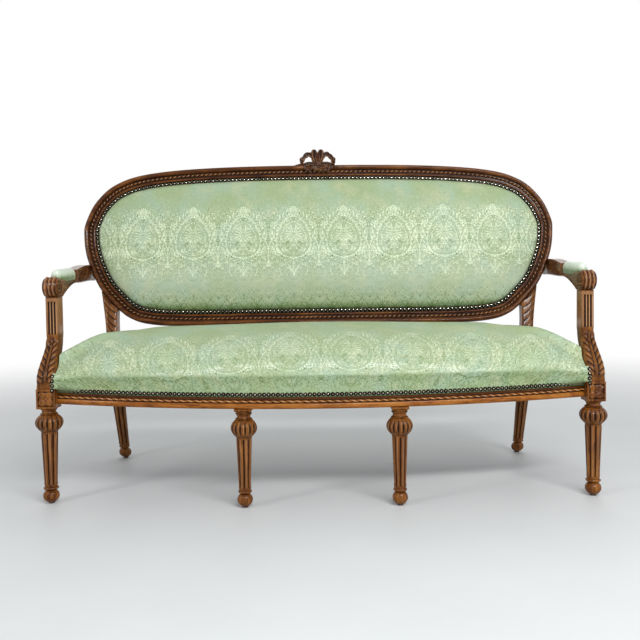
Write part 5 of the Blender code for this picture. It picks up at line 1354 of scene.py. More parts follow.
def nailTheSeat():
    rise = 0.0072
    inset = 0.0036
    x = np.linspace(-0.7535, 0.7535, 400)
    line = joined(x, frontFace(x) + inset, seat["hemBase"] + rise - frontDroop(x))
    spots = evenPlaces(line, nail["pitch"])
    slope = -2 * seat["bow"] * spots[:, 0] / seat["frontHalf"] ** 2
    ways = joined(slope, -1, 0)
    driveNails("front_nails", spots, ways)
    for side, sign in bothSides:
        # Along the side rail, then round behind to the stile
        y = np.linspace(0.036, 0.466, 60)
        line = joined(sign * (sideFace(y) - inset), y, seat["hemBase"] + rise)
        spots = evenPlaces(line, nail["pitch"])
        driveNails(f"side_nails_{side}", spots, np.broadcast_to(np.array((sign * 1.0, 0, 0)), spots.shape))
        # Up the post's inner front edge, through a strip of the cover that laps it
        z = np.linspace(0.3293, 0.3692, 30)
        line = joined(sign * 0.763, postCentreY(z) - 0.0268, z)
        spots = evenPlaces(line, 0.0133)
        ways = np.broadcast_to(np.array((-sign * 0.16, -0.98, 0.0)), spots.shape)
        driveNails(f"post_nails_{side}", spots, ways)
        levels = np.linspace(0.3335, 0.3775, 40)
        across = np.array((0.748, 0.752, 0.756, 0.761, 0.766, 0.769, 0.7692, 0.766, 0.76, 0.753, 0.748))
        out = np.array((0.0235, 0.0258, 0.027, 0.027, 0.0266, 0.0262, 0.0256, 0.0254, 0.0254, 0.024, 0.0222))
        ends = np.sqrt(limit(1 - (2 * np.linspace(0, 1, 40) - 1) ** 12))[:, None]
        strip = joined(sign * (0.756 + (across[None] - 0.756) * (0.5 + 0.5 * ends)),
                       postCentreY(levels)[:, None] - out[None], levels[:, None])
        fold = makePiece(f"seat_lap_{side}", gridShell(strip), seatDamask)
        layCloth(fold, seatFlat)
    x = np.linspace(-0.685, 0.685, 40)
    line = joined(x, seat["rearY"] + 0.0004, seat["hemBase"] + rise)
    spots = evenPlaces(line, nail["pitch"])
    driveNails("rear_nails", spots, np.broadcast_to(np.array((0, 1.0, 0)), spots.shape))


carveRails()
nailTheSeat()
print("rails carved and nailed")


# Legs

leg = {
    "spokes": 208,
    "ballRadius": 0.023,
    "collarRadius": 0.0213,
    "taperFoot": 0.017,
    "taperTop": 0.023,
    "flutes": 8,
    "fluteDepth": 0.003,
    "fluteHalf": 0.0021,
    "gadroons": 16,
    "gadroonDepth": 0.0046,
    "bulbRadius": 0.039,
    "bulbHeight": 0.045,
    "neckHeight": 0.019,
    "neckRadius": 0.02,
    "innerShare": 0.95,
    "blockBase": 0.276,
    "blockTop": 0.333,
    "plinthHeight": 0.013,
    "panelHalf": 0.021,
    "panelSink": 0.0025,
}


# A turned leg's radius by height and angle: ball, collar, taper cut with flutes whose ribs end in tongues,
# gadrooned bulb and hollow neck. Gives rows of (height, radius by angle, and by angle the wax and painted
# shade in its hollows and creases, less where a painted highlight lies)
def turnedRows(top, share, bulbRadius, neckRadius, ball, taperFoot, taperTop, withBulb=True):
    angles = turnsRound(leg["spokes"])
    rows = []
    step = 2 * math.pi / leg["flutes"]
    off = np.mod(angles + step / 2, step) - step / 2
    for turn in np.linspace(-1.15, 1.0, 12):
        rows.append((0.0225 + 0.0203 * math.sin(turn), ball * math.cos(turn) + 0 * angles, 0 * angles))
    collar = leg["collarRadius"] * share * ball / 0.023
    for turn in np.linspace(-1.25, 1.25, 8):
        rows.append((0.0449 + 0.0042 * math.sin(turn), collar - 0.0042 + 0.0042 * math.cos(turn) + 0 * angles,
                     0 * angles + (0.8 if abs(turn) > 1.2 else 0.0)))
    neckBase = top - (leg["neckHeight"] if withBulb else 0.0)
    bulbBase = neckBase - (leg["bulbHeight"] if withBulb else 0.0)
    taperEnd = bulbBase - 0.003
    ends = np.array((0.0, 0.001, 0.0025, 0.004, 0.006, 0.008, 0.0105, 0.013))
    for z in np.r_[0.0495 + ends, np.linspace(0.066, taperEnd - 0.014, 16), taperEnd - ends[::-1]]:
        along = (z - 0.0495) / (taperEnd - 0.0495)
        radius = taperFoot + (taperTop - taperFoot) * along
        shut = ease((z - 0.0515) / 0.0085) * ease((taperEnd - 0.0015 - z) / 0.0075)
        groove = np.exp(-(off * radius / (leg["fluteHalf"] * (0.75 + 0.35 * along))) ** 4)
        inTongue = min(max((z - 0.0495) / 0.014, 0), 1)
        tongue = 0.0017 * math.sin(math.pi * inTongue) * (1 - groove) * np.cos(off * 3.4)
        crown = 0.0007 * np.cos(off / step * math.pi * 2 + math.pi)
        # Wax and painted shade in the flutes; a painted highlight along the ribs' edges
        ridge = bell(np.abs(off) / step - 0.5, 0.07) + 0.8 * bell(off / step - 0.3, 0.05)
        rows.append((z, radius - leg["fluteDepth"] * groove * shut + tongue + crown * shut,
                     (1.15 * groove - 0.55 * ridge * (1 - groove)) * shut))
    if not withBulb:
        return rows
    rows.append((taperEnd + 0.0005, taperTop + 0.0016 + 0 * angles, 0 * angles + 0.9))
    foot, over = taperTop + 0.0028, neckRadius + 0.0042
    half = 2 * math.pi / leg["gadroons"]
    near = np.mod(angles + half / 2, half) - half / 2
    for t in np.r_[0.0, 0.03, 0.08, np.linspace(0.14, 0.86, 15), 0.92, 0.97, 1.0]:
        swell = math.sin(math.pi * t) ** 0.75
        seatRadius = foot + (over - foot) * t
        lobe = np.abs(np.cos(near / half * math.pi)) ** 0.55
        radius = seatRadius + (bulbRadius - seatRadius) * swell
        cut = leg["gadroonDepth"] * swell * (1 - lobe)
        lip = 0.0008 * swell * bell(np.abs(near) / half - 0.34, 0.07)
        # Wax and painted shade between the gadroons, and a painted highlight down one side of each
        rows.append((bulbBase + leg["bulbHeight"] * t, radius - cut + lip,
                     (limit((1 - lobe) * 2.0) - 0.6 * bell(near / half - 0.16, 0.09)) * swell))
    # Wax and painted shade in the neck's creases
    for t, radius, deep in ((0.02, over - 0.0016, 0.9), (0.06, over + 0.0004, 0.3),
                            (0.12, over + 0.0012, 0), (0.18, over + 0.0004, 0.2),
                            (0.23, over - 0.002, 0.8), (0.34, neckRadius + 0.0005, 0.2),
                            (0.48, neckRadius - 0.0004, 0.0), (0.62, neckRadius + 0.0002, 0.0),
                            (0.76, neckRadius + 0.0016, 0.0), (0.86, neckRadius + 0.0036, 0.1),
                            (0.93, neckRadius + 0.004, 0.3), (0.985, neckRadius + 0.0034, 0.9)):
        rows.append((neckBase + leg["neckHeight"] * t, radius + 0 * angles, deep + 0 * angles))
    return rows


# Square by angle: the distance to the sides of a square of half width one
def squareByAngle(angles):
    return 1 / np.maximum(np.abs(np.cos(angles)), np.abs(np.sin(angles)))


# A rosette in its sunk square: four full creased petals on the diagonals and four small ones between them,
# round a boss. Gives height, and the wax and painted shade round its petals and at the square's edge, less
# where a painted highlight lies on the petals
def rosette(p, q):
    panelHalf = leg["panelHalf"]
    far = np.maximum(np.abs(p), np.abs(q))
    radius, angle = np.hypot(p, q), np.arctan2(q, p)
    inside = far < panelHalf
    diagonal, upright = np.abs(np.sin(2 * angle)), np.abs(np.cos(2 * angle))
    share = limit((radius - 0.0035) / (panelHalf * (0.88 + 0.36 * diagonal ** 2) - 0.0035))
    relief = 0.0048 * np.sin(math.pi * share) ** 0.5 * diagonal ** 0.6
    relief *= 1 - 0.45 * np.exp(-(np.cos(2 * angle) / 0.22) ** 2) * limit(share * 2)
    small = limit((radius - 0.006) / (panelHalf * 0.86 - 0.006))
    relief = np.maximum(relief, 0.0034 * np.sin(math.pi * small) ** 0.5 * limit(upright * 3.2 - 2.2))
    boss = 0.004 * dome(radius / 0.0046)
    relief = np.maximum(relief, boss)
    height = np.where(inside, relief - leg["panelSink"], 0.0)
    depth = np.where(inside, carvedWaxShadeAndGleam(relief / 0.0048, 0.8, 0.72), 0.0)
    # Painted shade in a line round the sunk square's edge
    rim = bell(far - panelHalf, 0.0012)
    return height, np.maximum(depth, 0.8 * rim * (far > panelHalf - 0.001))


def carveCornerLegs():
    angles = turnsRound(leg["spokes"])
    half = seat["blockHalf"]
    for side, sign in bothSides:
        rows = turnedRows(leg["blockBase"], 1.0, leg["bulbRadius"], leg["neckRadius"], leg["ballRadius"],
                          leg["taperFoot"], leg["taperTop"])
        points, grimeShadeGleams = [], []
        for z, radius, depth in rows:
            points.append(joined(radius * np.cos(angles), radius * np.sin(angles), z))
            grimeShadeGleams.append(depth)
        square = squareByAngle(angles)
        for z in np.r_[leg["blockBase"] + np.array((0.0, 0.0004, 0.0012)),
                       np.linspace(leg["blockBase"] + 0.0022, leg["blockTop"] - 0.0022, 54),
                       leg["blockTop"] - np.array((0.0012, 0.0004, 0.0))]:
            edge = min(z - leg["blockBase"], leg["blockTop"] - z)
            shrink = 0.0012 if edge < 0.0002 else 0.0004 if edge < 0.001 else 0.0
            reach = (half - shrink) * square
            x, y = reach * np.cos(angles), reach * np.sin(angles)
            corner = np.maximum(np.abs(x), np.abs(y)) - np.minimum(np.abs(x), np.abs(y)) < 0.0011
            x, y = np.where(corner, x * 0.975, x), np.where(corner, y * 0.975, y)
            q = z - (leg["blockBase"] + leg["blockTop"]) / 2
            deep = np.zeros(len(angles))
            front = (y < -half + 0.0025) & (np.abs(x) < half - 0.0022)
            height, carved = rosette(x, q)
            y = np.where(front, y - height, y)
            deep = np.where(front, carved, deep)
            outer = (x * sign > half - 0.0025) & (np.abs(y) < half - 0.0022) & ~front
            height, carved = rosette(y, q)
            x = np.where(outer, x + sign * height, x)
            deep = np.where(outer, carved, deep)
            points.append(joined(x, y, z))
            grimeShadeGleams.append(deep)
        grid = np.stack(points) + np.array((sign * seat["cornerX"], 0, 0))
        carve(f"front_leg_{side}", gridShell(grid, np.stack(grimeShadeGleams)), "polishedWalnut")


def carveInnerLegs():
    angles = turnsRound(leg["spokes"])
    share = leg["innerShare"]
    for side, sign in bothSides:
        x = sign * 0.217
        y = float(frontFace(x)) + rail["frontDepth"] / 2
        under = seat["railBase"] - float(frontDroop(x)) - 0.0003
        top = under - leg["plinthHeight"]
        rows = turnedRows(top, share, leg["bulbRadius"] * share, leg["neckRadius"] * share,
                          leg["ballRadius"] * share, leg["taperFoot"] * share, leg["taperTop"] * share)
        points = [joined(r * np.cos(angles), r * np.sin(angles), z) for z, r, _ in rows]
        grimeShadeGleams = [depth for _, _, depth in rows]
        # The plinth under the rail: a hollow that opens from the neck to a square cap
        square = squareByAngle(angles)
        for t, mix, reach in ((0.02, 0.0, 0.0215), (0.12, 0.25, 0.0205), (0.28, 0.55, 0.0208),
                              (0.45, 0.85, 0.0222), (0.58, 1.0, 0.024), (0.62, 1.0, 0.025),
                              (0.97, 1.0, 0.025), (1.0, 1.0, 0.0246)):
            radius = reach * (1 + (square - 1) * mix * 0.985)
            points.append(joined(radius * np.cos(angles), radius * np.sin(angles),
                                 top + leg["plinthHeight"] * t))
            # Wax and painted shade in the plinth's creases
            grimeShadeGleams.append(0 * angles + (0.7 if 0.5 < t < 0.6 or t < 0.05 else 0.0))
        carve(f"inner_leg_{side}", gridShell(np.stack(points) + np.array((x, y, 0)), np.stack(grimeShadeGleams)),
              "polishedWalnut")


stile = {"width": 0.058, "depth": 0.036, "flare": 0.022, "footX": 0.716, "footY": 0.571, "scalePitch": 0.025}


# Rear legs: the raked fluted foot, the square block, and the leaning stile carved with overlapping scales
# that run up to the medallion and stop a hair under its edge
def carveRearLegs():
    angles = turnsRound(leg["spokes"])
    outline, _, _, _ = medallionCurve(3000)
    lower = outline[:1501][outline[:1501, 1] < 0.33]
    order = np.argsort(lower[:, 0])
    lowerX, lowerS = lower[order, 0], lower[order, 1]
    stileHalf = stile["width"] / 2
    for side, sign in bothSides:
        rows = turnedRows(leg["blockBase"] - 0.0005, 0.93, 0, 0, 0.022, 0.017, 0.023, withBulb=False)
        points, grimeShadeGleams = [], []
        for z, radius, depth in rows:
            share = z / leg["blockBase"]
            x = sign * (stile["footX"] + (seat["rearBlockX"] - stile["footX"]) * share)
            y = stile["footY"] + (seat["rearBlockY"] - stile["footY"]) * share
            points.append(joined(x + radius * np.cos(angles), y + radius * np.sin(angles), z))
            grimeShadeGleams.append(depth)
        square = squareByAngle(angles)
        blockX = sign * seat["rearBlockX"]
        for z, shrink in ((0.2762, 0.002), (0.277, 0.0005), (0.278, 0.0), (0.3505, 0.0), (0.3515, 0.0005),
                          (0.3522, 0.002)):
            reach = (seat["rearBlockHalf"] - shrink) * square
            points.append(joined(blockX + reach * np.cos(angles),
                                 seat["rearBlockY"] + reach * np.sin(angles), z))
            grimeShadeGleams.append(0 * angles)
        base = 0.3665
        for share in np.r_[0.0, np.linspace(0.01, 1.0, 100)]:
            x = stileHalf * square * np.cos(angles)
            v = stile["depth"] / 2 * square * np.sin(angles)
            x = np.clip(x, -stileHalf, stileHalf)
            # Two rings round its foot, then a waist
            ring = abs(math.sin(2 * math.pi * share / 0.15)) if share < 0.15 else 0.0
            waist = 1 - 0.27 * math.sin(math.pi * share) ** 0.8 + 0.1 * ring
            placeX = blockX + sign * stile["flare"] * share + x * waist
            edgeS = np.interp(np.abs(placeX), lowerX, lowerS)
            top = back["baseZ"] + edgeS * math.cos(back["lean"]) - 0.0006 - v * math.sin(back["lean"])
            z = base + (top - base) * share
            # Leaves wound round the face, each over the next, rising outwards
            run = (z / stile["scalePitch"] - 0.95 * sign * x / stileHalf
                   + 0.12 * np.cos(math.pi * x / stileHalf))
            leaf = 1 - np.mod(run, 1.0)
            bulge = dome(x / stileHalf)
            carvedHere = ease((share - 0.16) / 0.06)
            front = v < -stile["depth"] / 2 + 0.002
            height = (0.0058 * bulge * (0.45 + 0.55 * leaf ** 0.6) - 0.0012) * carvedHere
            # Wax and painted shade where each leaf laps the next and between the rings round the foot, a
            # painted highlight on the leaves' and rings' crests
            deep = limit((0.34 - leaf) / 0.34) - 0.5 * bell(leaf - 0.72, 0.12) * bulge + 0.12
            deep = deep * carvedHere * front + (share < 0.16) * (0.9 - 1.2 * ring)
            v = np.where(front, v - np.where(np.abs(x) < 0.0287, height, 0), v)
            y = back["baseY"] + (z - back["baseZ"]) * math.tan(back["lean"]) + v
            points.append(joined(placeX, y, z))
            grimeShadeGleams.append(deep)
        carve(f"rear_leg_{side}", gridShell(np.stack(points), np.stack(grimeShadeGleams)), "polishedWalnut")


carveCornerLegs()
carveInnerLegs()
carveRearLegs()
print("legs turned and carved")


# Arm posts

postCarving = {"spokes": 248, "rows": 150, "leafTop": 0.474, "leafFoot": 0.343, "leafletPitch": 0.017,
               "leafletLean": 0.021, "fluteRadius": 0.0028, "flutePitch": 0.0086, "fluteDepth": 0.0028,
               "fluteTop": 0.5804, "fluteFoot": 0.4844}


# Acanthus leaf up the post's front: leaflets lean up and outwards from a raised vein, each ribbed and
# lapping the next, inside a rounded tip. Across runs from -1 to 1. Gives its relief, and its wax and painted
# shade between the leaflets and along its top edge, less where a painted highlight lies on the crests
def acanthus(across, z):
    look = postCarving
    away = np.abs(across)
    inside = ease((look["leafTop"] - 0.024 * away ** 2 - z) / 0.006) * ease((z - look["leafFoot"]) / 0.012)
    phase = (z - look["leafletLean"] * away) / look["leafletPitch"]
    share = np.mod(phase, 1.0)
    leaflet = np.sin(math.pi * share ** 0.62) ** 0.8
    fine = 0.5 + 0.5 * np.cos(6 * math.pi * phase)
    vein = bell(across, 0.1)
    beside = bell(away - 0.24, 0.09)
    blade = ease((away - 0.12) / 0.15)
    relief = 0.001 + blade * (0.003 * leaflet + 0.0007 * fine * leaflet) + 0.0036 * vein - 0.0014 * beside
    relief *= inside
    tip = 0.0034 * bell(z - look["leafTop"] + 0.01, 0.008) * hump(across, 0.55)
    crest = blade * bell(share - 0.3, 0.11) + 0.6 * bell(across - 0.05, 0.05)
    deep = inside * (limit(np.maximum(blade * (1.05 - 1.35 * leaflet), beside)) * (1 - vein) - 0.6 * crest)
    rim = bell(look["leafTop"] - 0.024 * away ** 2 - z + 0.001, 0.0022)
    return relief + tip, np.where(rim > 0.4, 0.8 * rim, deep)


# Three flutes with round ends down the upper half of the post's front
def postFlutes(x, z):
    look = postCarving
    height, deep = np.zeros(np.broadcast(x, z).shape), np.zeros(np.broadcast(x, z).shape)
    for k in (-1, 0, 1):
        past = np.maximum(z - (look["fluteTop"] - look["fluteRadius"]),
                          look["fluteFoot"] + look["fluteRadius"] - z)
        near = np.hypot(x - k * look["flutePitch"], np.maximum(past, 0)) / look["fluteRadius"]
        cut = dome(near)
        height = np.minimum(height, -look["fluteDepth"] * cut)
        # Wax and painted shade in the flutes
        deep = np.maximum(deep, 0.95 * limit(cut * 1.3 - 0.1))
    # The ribs between them get a painted highlight on the side that the light meets
    within = ease((look["fluteTop"] - z) / 0.006) * ease((z - look["fluteFoot"]) / 0.006)
    ribs = sum(bell(x - middle, 0.0012) for middle in (-0.004, 0.0046, 0.013))
    return height, deep - 1.1 * ribs * within * (deep < 0.2)


# A post is a stack of rounded squares that narrow and sweep back, with the carving added to its faces
def carvePosts():
    angles = turnsRound(postCarving["spokes"])
    z = np.r_[post["footZ"] + np.array((0.0, 0.0006, 0.0018)),
              np.linspace(post["footZ"] + 0.003, post["topZ"] - 0.0022, postCarving["rows"]),
              post["topZ"] - np.array((0.0012, -0.0002))][:, None]
    narrow = postNarrowing(z)
    ends = np.minimum(z - post["footZ"], post["topZ"] - z)
    shrink = 0.0009 * limit(1 - ends / 0.0015) ** 2
    halfX = (post["width"] + (post["topWidth"] - post["width"]) * narrow) / 2 - shrink
    halfY = postDepth(z) / 2 - shrink
    power = 5.0 + 5.0 * ease((z - 0.47) / 0.02) + 4.0 * ease((0.35 - z) / 0.012)
    reach = 1 / (np.abs(np.cos(angles)) ** power + np.abs(np.sin(angles)) ** power) ** (1 / power)
    for side, sign in bothSides:
        across, behind = reach * np.cos(angles), reach * np.sin(angles)
        front = limit((-np.sin(angles) - np.abs(np.cos(angles)) * 0.86) / 0.16)
        outer = limit((sign * np.cos(angles) - np.abs(np.sin(angles)) * 0.92) / 0.1)
        outer = outer * (np.sin(angles) < 0.35)
        leafFront, deepFront = acanthus(across, z)
        leafOuter, deepOuter = acanthus(0.55 + 0.45 * behind, z)
        swell = 0.0016 * hump(across, 1.0) * ease((0.478 - z) / 0.02) * ease((z - 0.338) / 0.02)
        flute, deepFlute = postFlutes(across * halfX, z)
        y = behind * halfY - front * (leafFront + swell + flute)
        x = across * halfX + sign * outer * leafOuter * 0.6
        # The leaf's tips scallop the outer and inner corners
        tips = 0.0011 * np.abs(np.sin(math.pi * (z - 0.008) / postCarving["leafletPitch"]))
        corner = limit((0.3 - np.abs(np.abs(across) - np.abs(behind))) / 0.3) * (np.sin(angles) < 0)
        x = x + np.sign(across) * corner * tips * ease((0.47 - z) / 0.01) * ease((z - 0.352) / 0.01)
        plain = np.abs(front * (deepFront + deepFlute)) < 0.15
        # Painted shadow at the post's top, under the scroll; a painted highlight on the plain upper post; a
        # little darker down the front of the leaf
        deep = front * (deepFront + deepFlute) + outer * deepOuter + ease((z - post["topZ"] + 0.005) / 0.004)
        deep = deep - 0.42 * plain * ease((z - 0.475) / 0.02) + 0.16 * front * ease((0.47 - z) / 0.01)
        place = joined(sign * (seat["cornerX"] - post["drawIn"] * narrow) + x, postCentreY(z) + y, z)
        carve(f"arm_post_{side}", gridShell(place, deep), "polishedWalnut")


# Arms

arm = {"frontX": 0.7805, "scrollY": 0.044, "scrollZ": 0.6223, "scrollRadius": 0.028, "scrollHalf": 0.021,
       "half": 0.0195, "spread": 0.05, "startY": 0.066, "rearY": 0.572, "padLength": 0.206,
       "padHeight": 0.0305, "edge": 0.004, "padDrape": 0.006, "seatFrontZ": 0.645, "seatRearZ": 0.657,
       "stepZ": 0.68, "rearTopZ": 0.704, "rearLowZ": 0.648, "midLowZ": 0.637, "bracketY": 0.081,
       "bracketZ": 0.5943, "round": 0.0042}


def armCentreX(y):
    return arm["frontX"] + arm["spread"] * ease((y - arm["startY"]) / (arm["rearY"] - arm["startY"]))


# The arm's outline from the side as (y, z), clockwise from under the scroll, and 1 where it is the scroll
def armOutline():
    angles = np.linspace(-math.pi / 2, -1.5 * math.pi, 64)
    scroll = joined(arm["scrollY"] + arm["scrollRadius"] * np.cos(angles),
                    arm["scrollZ"] + arm["scrollRadius"] * np.sin(angles))
    padEnd = arm["startY"] + arm["padLength"]
    seatEnd, step = padEnd + arm["edge"], padEnd + 2 * arm["edge"]
    y = np.linspace(arm["startY"] - arm["edge"], seatEnd, 40)
    bed = joined(y, arm["seatFrontZ"] + (arm["seatRearZ"] - arm["seatFrontZ"]) * (y - y[0]) / (y[-1] - y[0]))
    share = np.linspace(0, 1, 50)
    top = joined(step + (arm["rearY"] - step) * share,
                 arm["stepZ"] + (arm["rearTopZ"] - arm["stepZ"]) * np.sin(math.pi / 2 * share))
    z = np.linspace(arm["rearTopZ"], arm["rearLowZ"], 8)[1:-1]
    rear = joined(arm["rearY"], z)
    under = joined(arm["rearY"] + (step - arm["rearY"]) * share,
                   arm["rearLowZ"] + (arm["midLowZ"] - arm["rearLowZ"]) * ease(share))
    bend = np.linspace(0, 1, 46)[1:]
    bracket = joined(step + (arm["bracketY"] - step) * bend,
                     arm["midLowZ"] + (arm["bracketZ"] - arm["midLowZ"]) * bend ** 2.2)
    y = np.linspace(arm["bracketY"], arm["scrollY"], 14)[1:-1]
    floor = joined(y, arm["bracketZ"])
    line = np.vstack([scroll, [(arm["startY"] - 2 * arm["edge"], 0.6481)], bed, top, rear, under, bracket,
                      floor])
    isScroll = np.r_[np.ones(len(scroll)), np.zeros(len(line) - len(scroll))]
    return line, isScroll


# An arm: its outline carried across its width, with rounded long edges; the scroll's front is carved in
# three lobes, and a turned roundel stands on each of its sides
def carveArms():
    line, isScroll = armOutline()
    ahead = np.roll(line, -1, axis=0) - np.roll(line, 1, axis=0)
    ahead /= np.maximum(np.linalg.norm(ahead, axis=1), 1e-9)[:, None]
    inward = joined(ahead[:, 1], -ahead[:, 0])
    across = np.r_[-1, -0.985, -0.955, -0.91, -0.85, np.linspace(-0.78, 0.78, 31),
                   0.85, 0.91, 0.955, 0.985, 1]
    past = limit((np.abs(across) - 0.8) / 0.2)
    inset = arm["round"] * (1 - dome(past))
    turn = np.arctan2(line[:, 1] - arm["scrollZ"], arm["scrollY"] - line[:, 0])
    carvedHere = (isScroll * ease((turn + 1.3) / 0.35) * ease((1.75 - turn) / 0.3))[:, None]
    lobe = (np.abs(np.sin(1.5 * math.pi * (across / 0.8 + 1))) * (np.abs(across) < 0.8))[None, :]
    ribs = 0.5 + 0.5 * np.cos(9 * turn + 1.0)[:, None]
    lift = carvedHere * (0.0024 * lobe ** 0.6 + 0.0009 * ribs * lobe - 0.0012)
    # Wax and painted shade between the scroll's lobes, a painted highlight on their crests
    deep = carvedHere * 0.7 * carvedWaxShadeAndGleam(lobe, 1.3, 0.9) * (np.abs(across) < 0.88)
    # The leaf's three tips curl over the front of the pad
    curl = bell(turn - 1.42, 0.22)[:, None] * isScroll[:, None]
    lift = lift + 0.0014 * curl * lobe
    outline, _, _, _ = medallionCurve(3000)
    right = outline[(outline[:, 0] > 0.7) & (outline[:, 1] > 0.08)][::-1]
    for side, sign in bothSides:
        place = line[:, None, :] + inward[:, None, :] * (inset[None, :, None] - lift[..., None])
        y, z = place[..., 0], place[..., 1]
        narrowed = ease((y - arm["startY"]) / arm["scrollRadius"])
        half = arm["scrollHalf"] + (arm["half"] - arm["scrollHalf"]) * narrowed
        x = armCentreX(y) + across[None, :] * half
        spot = joined(x, y, z)
        run, out = (read(spot.reshape(-1, 3)).reshape(x.shape) for read in (backRun, backHeight))
        edge = np.interp(run, right[:, 1], right[:, 0]) + 0.0006
        beside = (out < back["frameDepth"] / 2 + 0.0006) & (y > 0.45)
        x = np.where(beside, np.maximum(x, edge), x)
        grid = joined(sign * x, y, z)
        shell = newShell()
        addGrid(shell, np.swapaxes(grid, 0, 1), np.broadcast_to(deep, x.shape).T)
        for way in (1, -1):
            roundel(shell, sign * (arm["frontX"] + way * (arm["scrollHalf"] - 0.0006)), sign * way)
        carve(f"arm_{side}", shell, "armWalnut")


# A turned roundel on the scroll's side: rings round a boss, facing out along x
def roundel(shell, x, way):
    profile = np.array(((0.024, 0.0), (0.0238, 0.0022), (0.0222, 0.0034), (0.0205, 0.0026), (0.0195, 0.0014),
                        (0.0178, 0.0016), (0.015, 0.003), (0.012, 0.0033), (0.0098, 0.0022), (0.0088, 0.0012),
                        (0.0076, 0.0024), (0.005, 0.0042), (0.002, 0.005), (0.0003, 0.0051)))
    profile = profile * (0.9, 0.55)
    turns = turnsRound(72)
    onPetals = ((profile[:, 0] > 0.009) & (profile[:, 0] < 0.017))[:, None]
    petals = 1 + 0.16 * np.abs(np.sin(6 * turns))[None, :] * onPetals
    radius = profile[:, :1] * np.minimum(petals, 1.12)
    grid = joined(x + way * profile[:, 1:] + 0 * radius, arm["scrollY"] + radius * np.cos(turns),
                  arm["scrollZ"] + radius * np.sin(turns))
    foot = joined(x - way * 0.002, arm["scrollY"] + 0.0216 * np.cos(turns),
                  arm["scrollZ"] + 0.0216 * np.sin(turns))
    # Wax and painted shade in the roundel's hollows
    deep = np.array((0, 0.3, 0, 0.5, 1, 0.9, 0.2, 0, 0.5, 1, 0.4, 0, 0, 0))[:, None] + 0 * turns
    addGrid(shell, np.vstack([foot[None], grid]), np.vstack([0 * turns[None], deep]))


# Arm pads: a long rounded lozenge, domed, over the seat cut for it in the arm
def upholsterPads():
    profile = ((1.000, 0.000), (1.035, 0.2), (0.995, 0.42), (0.9, 0.63), (0.74, 0.8), (0.52, 0.925),
               (0.26, 0.985), (0.000, 1.000))
    turns = turnsRound(180)
    wide = np.sign(np.sin(turns)) * np.abs(np.sin(turns)) ** 0.62 * (arm["half"] + 0.0019)
    long = np.sign(np.cos(turns)) * np.abs(np.cos(turns)) ** 0.75 * (arm["padLength"] - 0.003) / 2
    outline = joined(wide, long)
    spine = joined(0 * wide, long * (1 - arm["half"] / (arm["padLength"] / 2)))
    rings, rise = pillowRings(outline, spine, profile, 22)
    height = arm["padHeight"] - 0.002
    for side, sign in bothSides:
        y = arm["startY"] + arm["padLength"] / 2 + rings[..., 1]
        seatZ = (arm["seatFrontZ"]
                 + (arm["seatRearZ"] - arm["seatFrontZ"]) * (y - arm["startY"]) / arm["padLength"])
        x = sign * armCentreX(y) + rings[..., 0]
        grid = joined(x, y, seatZ + 0.0006 + height * rise[:, None])
        grid = np.vstack([grid[:1] - (0, 0, 0.016), grid])

        def lift(spots):
            share = (spots[:, 1] - arm["startY"]) / arm["padLength"]
            return spots[:, 2] - (arm["seatFrontZ"] + (arm["seatRearZ"] - arm["seatFrontZ"]) * share)

        piece = blowPadding(f"arm_cushion_{side}", grid, padding["pad"],
                            lambda spots: limit((0.005 - lift(spots)) / 0.004))
        slope = (arm["seatRearZ"] - arm["seatFrontZ"]) / arm["padLength"]
        trimBelow(piece.data, Vector((0, arm["startY"] + legLineY, arm["seatFrontZ"] - arm["padDrape"])),
                  Vector((0, -slope, 1)))
        roundOff(piece)
        spots = meshPoints(piece.data) - legLine
        normals = meshNormals(piece.data)
        # The ends of the drape stop on the arm; its sides hang past the arm's edges
        past = np.abs(spots[:, 1] - arm["startY"] - arm["padLength"] / 2) - arm["padLength"] / 2 + 0.02
        spots[:, 2] += limit(0.0007 - lift(spots)) * ease(past / 0.014)
        rimmed = np.exp(-limit(lift(spots) - 0.003) / 0.007) * limit((lift(spots) + 0.004) / 0.003)
        folds = foldWaves(spots[:, 1] * 2.2 + spots[:, 0] * 0.6, 2.6 + sign)
        spots += normals * (0.0007 * rimmed * folds)[:, None]
        setMeshPoints(piece.data, spots + legLine)

        def flatPlace(spots):
            across = spots[:, 0] - sign * armCentreX(spots[:, 1])
            return joined(spots[:, 1] + 0.31 * sign, across * 1.1 - 0.015, 0)

        # Painted highlight: the cover is paler towards the pad's top; painted shade darkens it along its foot
        finishCover(piece, flatPlace, seatDamask, (f"arm_pad_{side}",),
                    fade=lambda spots: 0.9 * ease((lift(spots) - 0.002) / 0.02),
                    soil=lambda spots: 0.4 * (1 - ease(lift(spots) / 0.01)))


carvePosts()
carveArms()
upholsterPads()
print("arms and posts carved, pads covered")


# Crest

crest = {"railFront": 0.019, "top": 0.581}


